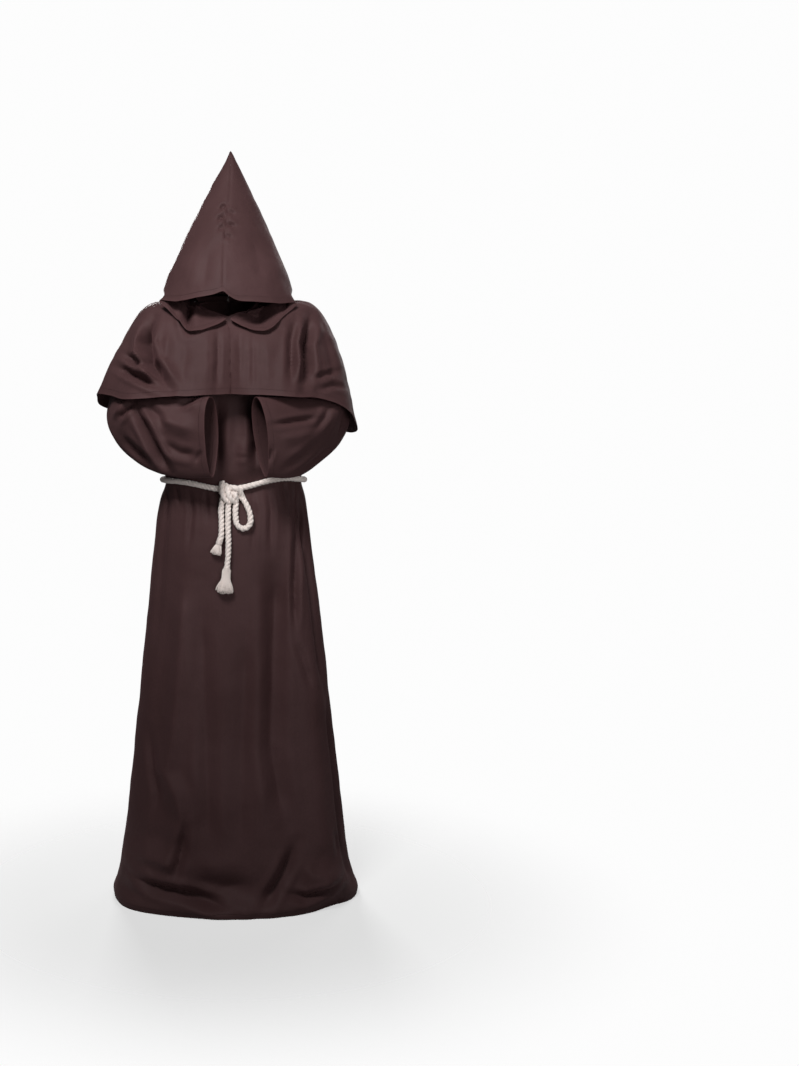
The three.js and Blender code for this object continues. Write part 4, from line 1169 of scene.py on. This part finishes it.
def smooth_route(route, step):
    """Points at even steps of length on a smooth curve through the route, all in mm."""
    route = np.array(route, float)
    starts = run_along(route)
    rows = [{"at": at, "x": x, "y": y, "z": z} for at, (x, y, z) in zip(starts, route)]
    curve = points_along(rows, "at", np.linspace(0, starts[-1], ROUTE_FINENESS * len(route)), "xyz")
    run = run_along(curve)
    even = np.linspace(0, run[-1], max(int(round(run[-1] / step)), FEWEST_STEPS) + 1)
    return np.stack([np.interp(even, run, curve[:, axis]) for axis in range(3)], axis=-1)


def rings_round(path, around, reach):
    """Rings of points around a path, turned along it without twist, as far out as reach says."""
    ahead = unit(np.gradient(path, axis=0))
    first = np.cross(ahead[0], (0.13, 0.97, 0.21))
    firsts = []
    for direction in ahead:
        first = unit(first - direction * (first @ direction))
        firsts.append(first)
    firsts = np.array(firsts)[:, None]
    seconds = np.cross(ahead[:, None], firsts)
    ways = np.cos(around)[..., None] * firsts + np.sin(around)[..., None] * seconds
    return path[:, None] + reach[..., None] * ways


def rope_tube(name, path, radius=ROPE_RADIUS, lay=ROPE_LAY, phase=0.0):
    """A twisted rope along a path in mm, as one closed mesh with its two ends capped."""
    run = run_along(path)[:, None]
    around = np.linspace(0, 2 * np.pi, ROPE_SIDES + 1)[None, :]
    twisted = around - 2 * np.pi * run / lay - phase
    strand = np.abs(np.cos(STRAND["count"] / 2 * twisted)) ** STRAND["roundness"]
    uneven = ROPE_UNEVEN["share"] * np.sin(run / ROPE_UNEVEN["pitch"] + ROPE_UNEVEN["turns"] * around)
    uneven = uneven + ROPE_UNEVEN["slow_share"] * np.sin(run / ROPE_UNEVEN["slow_pitch"] + phase)
    reach = radius * (1 - STRAND["groove"] + STRAND["groove"] * strand) * (1 + uneven)
    rope = grid_piece(name, rings_round(path, around, reach), {"lay": (twisted / (2 * np.pi), run * MM)})
    merge_points(ROPE_MERGE)
    bpy.ops.object.mode_set(mode="EDIT")
    bpy.ops.mesh.fill_holes(sides=0)
    bpy.ops.mesh.select_all(action="SELECT")
    bpy.ops.mesh.normals_make_consistent(inside=False)
    bpy.ops.object.mode_set(mode="OBJECT")
    bpy.ops.object.shade_smooth_by_angle(angle=math.radians(ROPE_SMOOTH))
    return rope


def join_pieces(name, pieces):
    bpy.ops.object.select_all(action="DESELECT")
    for piece in pieces:
        piece.select_set(True)
    bpy.context.view_layer.objects.active = pieces[0]
    bpy.ops.object.join()
    joined = bpy.context.object
    joined.name = name
    joined.data.name = name
    return joined


def cotton_rope():
    """Undyed cotton: cream yarns that follow the lay, with a little soil and fluff."""
    material, shader = new_material("cotton rope", {
        "Roughness": 0.92, "Specular IOR Level": 0.15, "Sheen Weight": 0.5, "Sheen Roughness": 0.6,
    })
    tree = material.node_tree
    place = tree.nodes.new("ShaderNodeTexCoord").outputs["Object"]
    yarn = noise_of(tree, stretched(tree, uv_of(tree, "lay"), (26, 260, 1)), 1, 3)
    shade = ramp_of(tree, noise_of(tree, place, 60, 4), [(0.3, ROPE_SHADE), (0.65, ROPE_CREAM)])
    threads = ramp_of(tree, yarn, [(0.35, (0.88, 0.86, 0.85)), (0.6, (1, 1, 1))])
    tree.links.new(tinted(tree, shade, threads, 0.8), shader.inputs["Base Color"])
    set_relief(tree, shader, [(yarn, 0.0009, 0.7), (noise_of(tree, place, 900, 2), 0.0004, 0.5)])
    return material


def finish_rope(piece, node):
    finish_piece(piece, node, rope_cotton)


def belt_point(turn_degrees):
    """A point of the belt's centre line in mm, at a turn from the front's middle towards the habit's left."""
    front = math.cos(math.radians(turn_degrees)) >= 0
    panel = "front" if front else "back"
    degrees = half_turns(turn_degrees) if front else 180 - turn_degrees
    beside = np.array([[degrees, degrees + 1.0]])
    here, ahead = robe_surface(panel, beside, np.array([[float(BELT_HEIGHT)]]))[0]
    across = ahead - here
    across[2] = 0
    across /= np.linalg.norm(across)
    out = np.array([across[1], -across[0], 0]) * (1 if front else -1)
    return here + out * (ROPE_DIAMETER / 2 + ROPE_REST)


rope_cotton = cotton_rope()
turns = np.linspace(BELT_TURN["from"], BELT_TURN["to"], BELT_TURN["points"])
belt = rope_tube("belt_rope_twist", smooth_route([belt_point(turn) for turn in turns], ROPE_STEP))
finish_rope(belt, "belt_rope")


# Loop. The same rope hangs from the knot on the habit's left in one open bight, and goes back up into the
# knot. It lies against the front of the robe.
LOOP_ROUTE = [
    (14, -461), (27, -471), (37, -487), (44, -505), (46, -522), (43.5, -531), (37.5, -537.5), (29, -540),
    (20.6, -537), (14.6, -530.5), (11.8, -517), (11, -498), (12, -484), (10.5, -472),
]
LOOP_FORWARD = 1.5
LOOP_PHASE = 1.1


def robe_front_at(x, z):
    """How far forward the robe's front lies at a place seen from the front, in mm."""
    height, degrees = float(z), 0.0
    for _ in range(4):
        across = float(curve_along(ROBE_SECTIONS, "height", height, "across"))
        lean = float(curve_along(ROBE_SECTIONS, "height", height, "lean"))
        degrees = math.degrees(math.asin((x - lean) / across))
        height = z + float(belt_dip(degrees, height))
    return robe_surface("front", np.array([[degrees]]), np.array([[height]]))[0, 0, 1]


def rope_route(route, clearance):
    return [(x, robe_front_at(x, z) - ROPE_DIAMETER / 2 - clearance, z) for x, z in route]


def route_in_metres(path, step):
    return [tuple(point * MM) for point in path[::step]]


loop_path = smooth_route(rope_route(LOOP_ROUTE, LOOP_FORWARD), ROPE_STEP)
loop = rope_tube("belt_loop_twist", loop_path, phase=LOOP_PHASE)
finish_rope(loop, "belt_loop")


# Knot. Six turns of the same rope, drawn tight over the belt, over the loop's ends and over the tops of the
# two tails.
KNOT_AT = (-2, -460)
KNOT_ROPE = 7
KNOT_PHASE = 0.9
# Each turn goes through points of (x, y forward of the robe, z)
KNOT_ROUTES = [
    [(-19, 1, -434), (-20, 11, -440), (-20, 19, -449), (-18, 24, -460), (-13, 26, -472), (-3, 23, -481)],
    [(-10, 8, -442), (-8, 17, -447), (-6, 25, -456), (-3, 28, -466), (3, 26, -475), (12, 17, -480)],
    [(-6, 14, -449), (2, 22, -446), (12, 24, -448), (21, 18, -456), (28, 10, -470)],
    [(-24, 6, -455), (-10, 15, -460), (4, 20, -460), (15, 17, -456), (24, 9, -450)],
    [(6, 14, -452), (9, 22, -459), (12, 22, -468), (12, 14, -478)],
    [(-22, 7, -470), (-10, 14, -474), (2, 15, -472), (13, 10, -466)],
]
base = robe_front_at(*KNOT_AT)
knot_turns = []
for i, route in enumerate(KNOT_ROUTES):
    path = smooth_route([(x, base - forward, z) for x, forward, z in route], ROPE_STEP)
    knot_turns.append(rope_tube("turn", path, radius=KNOT_ROPE, phase=KNOT_PHASE * i))
finish_rope(join_pieces("belt_knot_turns", knot_turns), "belt_knot")


# Tails. The rope's two free ends hang from the knot. Each is bound with twine, and its yarns are teased out
# below the twine into a tuft.
TAIL_FORWARD = 4
# The tuft's length, spread and head, its neck as a share of the spread, and how far down it stays narrow
TAILS = table(
    "name phase length spread head neck narrow_to strands route",
    ("tail_short", 5.0, 31, 13.5, 7.4, 0.36, 0.0, 90, [
        (-16, -466), (-20, -482), (-22, -500), (-21, -522), (-21, -542), (-22, -558), (-26, -571)
    ]),
    ("tail_long", 4.5, 56, 21, 9.2, 0.46, 0.35, 140, [
        (-3, -468), (-5, -484), (-6, -505), (-6, -535), (-5, -570), (-6, -605), (-9, -634)
    ]),
)
TUFT_FLATNESS = 0.62
TUFT_HEAD = {"deep": 7.0, "high": 8.0, "below": 1.0}
TUFT_SWAY = 3.4
TUFT_SEED = 5
YARN_NOISE = {"step": 0.37, "y": 1.7, "z": 2.3}
YARN_LENGTH = {"outer_cut": 0.1, "mean": 0.94, "varies": 0.06, "step": 2.3}
YARN_WAVE = {"start": 0.3, "waves": 2.4}
YARN = {"radius": 1.0, "sides": 5, "points": 8, "rings": 9, "thins_by": 0.35, "map_step": 0.006}
OUTER_YARNS = {"from": 0.97, "drawn_in": 0.25}
GOLDEN_TURN = 2.39996
WHIPPING = {
    "turns": 5, "points": 24, "thread": 0.75, "lay": 6, "reach": 7.0, "flatness": 0.95,
    "top": -5.5, "bottom": 2.5,
}


def end_directions(path):
    """The way a rope's end points, and two directions across it, to the side and to the front."""
    down = unit(path[-1] - path[-3])
    side = unit(np.array([1.0, 0, 0]) - down * down[0])
    forward = np.cross(down, side)
    return down, side, forward * (-1 if forward[1] > 0 else 1)


def tuft_yarn(i, tail, end, down, side, forward):
    """Rings of one teased yarn: it leaves the whipped head, waves a little and bends out to the edge."""
    share = math.sqrt((i + 0.5) / tail["strands"])
    angle = i * GOLDEN_TURN
    outward_way = side * math.cos(angle) + forward * math.sin(angle) * TUFT_FLATNESS
    wave = noise.noise_vector(Vector((i * YARN_NOISE["step"], YARN_NOISE["y"], YARN_NOISE["z"])))
    length = tail["length"] * (1 - YARN_LENGTH["outer_cut"] * share**2)
    length *= YARN_LENGTH["mean"] + YARN_LENGTH["varies"] * math.sin(i * YARN_LENGTH["step"])
    line = []
    for t in np.linspace(0, 1, YARN["points"]):
        flare = tail["neck"] + (1 - tail["neck"]) * ease(t, tail["narrow_to"], 1.0)
        kept = 1 - OUTER_YARNS["drawn_in"] * t if share > OUTER_YARNS["from"] else 1
        phase = YARN_WAVE["start"] + YARN_WAVE["waves"] * t + wave.z
        sway = TUFT_SWAY * t * math.sin(math.pi * phase)
        point = end + down * length * t + outward_way * share * tail["spread"] * flare * kept
        line.append(point + side * wave.x * sway + forward * wave.y * sway * TUFT_FLATNESS)
    thin = smooth_route(line, tail["length"] / YARN["rings"])
    around = np.linspace(0, 2 * np.pi, YARN["sides"] + 1)[None, :-1]
    girth = YARN["radius"] * (1 - YARN["thins_by"] * np.linspace(0, 1, len(thin)) ** 3)
    return rings_round(thin, around, girth[:, None])


def add_yarn(shape, lay_map, rings):
    """A closed five-sided yarn in a mesh that is being built."""
    rows = [[shape.verts.new(Vector(point * MM)) for point in ring] for ring in rings]
    sides = YARN["sides"]
    for j in range(len(rows) - 1):
        for k in range(sides):
            after = (k + 1) % sides
            face = shape.faces.new((rows[j][k], rows[j][after], rows[j + 1][after], rows[j + 1][k]))
            for corner, (u, v) in zip(face.loops, ((k, j), (k + 1, j), (k + 1, j + 1), (k, j + 1))):
                corner[lay_map].uv = (u / sides, v * YARN["map_step"])
    shape.faces.new(reversed(rows[0]))
    shape.faces.new(rows[-1])


def tuft_of(tail, end, down, side, forward):
    """The rounded head under the whipping, with all the teased yarns that leave it."""
    bpy.ops.object.select_all(action="DESELECT")
    bpy.ops.mesh.primitive_uv_sphere_add(segments=20, ring_count=12, radius=1)
    tuft = bpy.context.object
    tuft.name = "tassel_" + tail["name"] + "_tuft"
    tuft.data.name = tuft.name
    tuft.data.uv_layers[0].name = "lay"
    shape = bmesh.new()
    shape.from_mesh(tuft.data)
    for vertex in shape.verts:
        x, y, z = vertex.co
        place = end + side * x * tail["head"] + forward * y * TUFT_HEAD["deep"]
        vertex.co = Vector((place + down * (z * TUFT_HEAD["high"] + TUFT_HEAD["below"])) * MM)
    for i in range(tail["strands"]):
        add_yarn(shape, shape.loops.layers.uv[0], tuft_yarn(i, tail, end, down, side, forward))
    bmesh.ops.recalc_face_normals(shape, faces=shape.faces)
    shape.to_mesh(tuft.data)
    shape.free()
    bpy.ops.object.shade_smooth_by_angle(angle=math.radians(ROPE_SMOOTH))
    return tuft


def whipping_of(end, down, side, forward):
    """Turns of thin twine round the rope's end, just above the tuft."""
    turn = np.linspace(0, 2 * np.pi * WHIPPING["turns"], WHIPPING["points"] * WHIPPING["turns"])
    drop = np.linspace(WHIPPING["top"], WHIPPING["bottom"], len(turn))
    twine = []
    for angle, fall in zip(turn, drop):
        across = side * math.cos(angle) + forward * math.sin(angle) * WHIPPING["flatness"]
        twine.append(end + down * fall + across * WHIPPING["reach"])
    return rope_tube("whipping", np.array(twine), radius=WHIPPING["thread"], lay=WHIPPING["lay"])


noise.seed_set(TUFT_SEED)
for tail in TAILS:
    path = smooth_route(rope_route(tail["route"], TAIL_FORWARD), ROPE_STEP)
    rope = rope_tube("belt_" + tail["name"] + "_twist", path, phase=tail["phase"])
    finish_rope(rope, "belt_" + tail["name"])
    place = (path[-1], *end_directions(path))
    tuft = tuft_of(tail, *place)
    tuft = join_pieces(tuft.name, [tuft, whipping_of(*place)])
    finish_rope(tuft, "tassel_" + tail["name"])
    route = route_in_metres(path, 3) + [tuple(path[-1] * MM)]
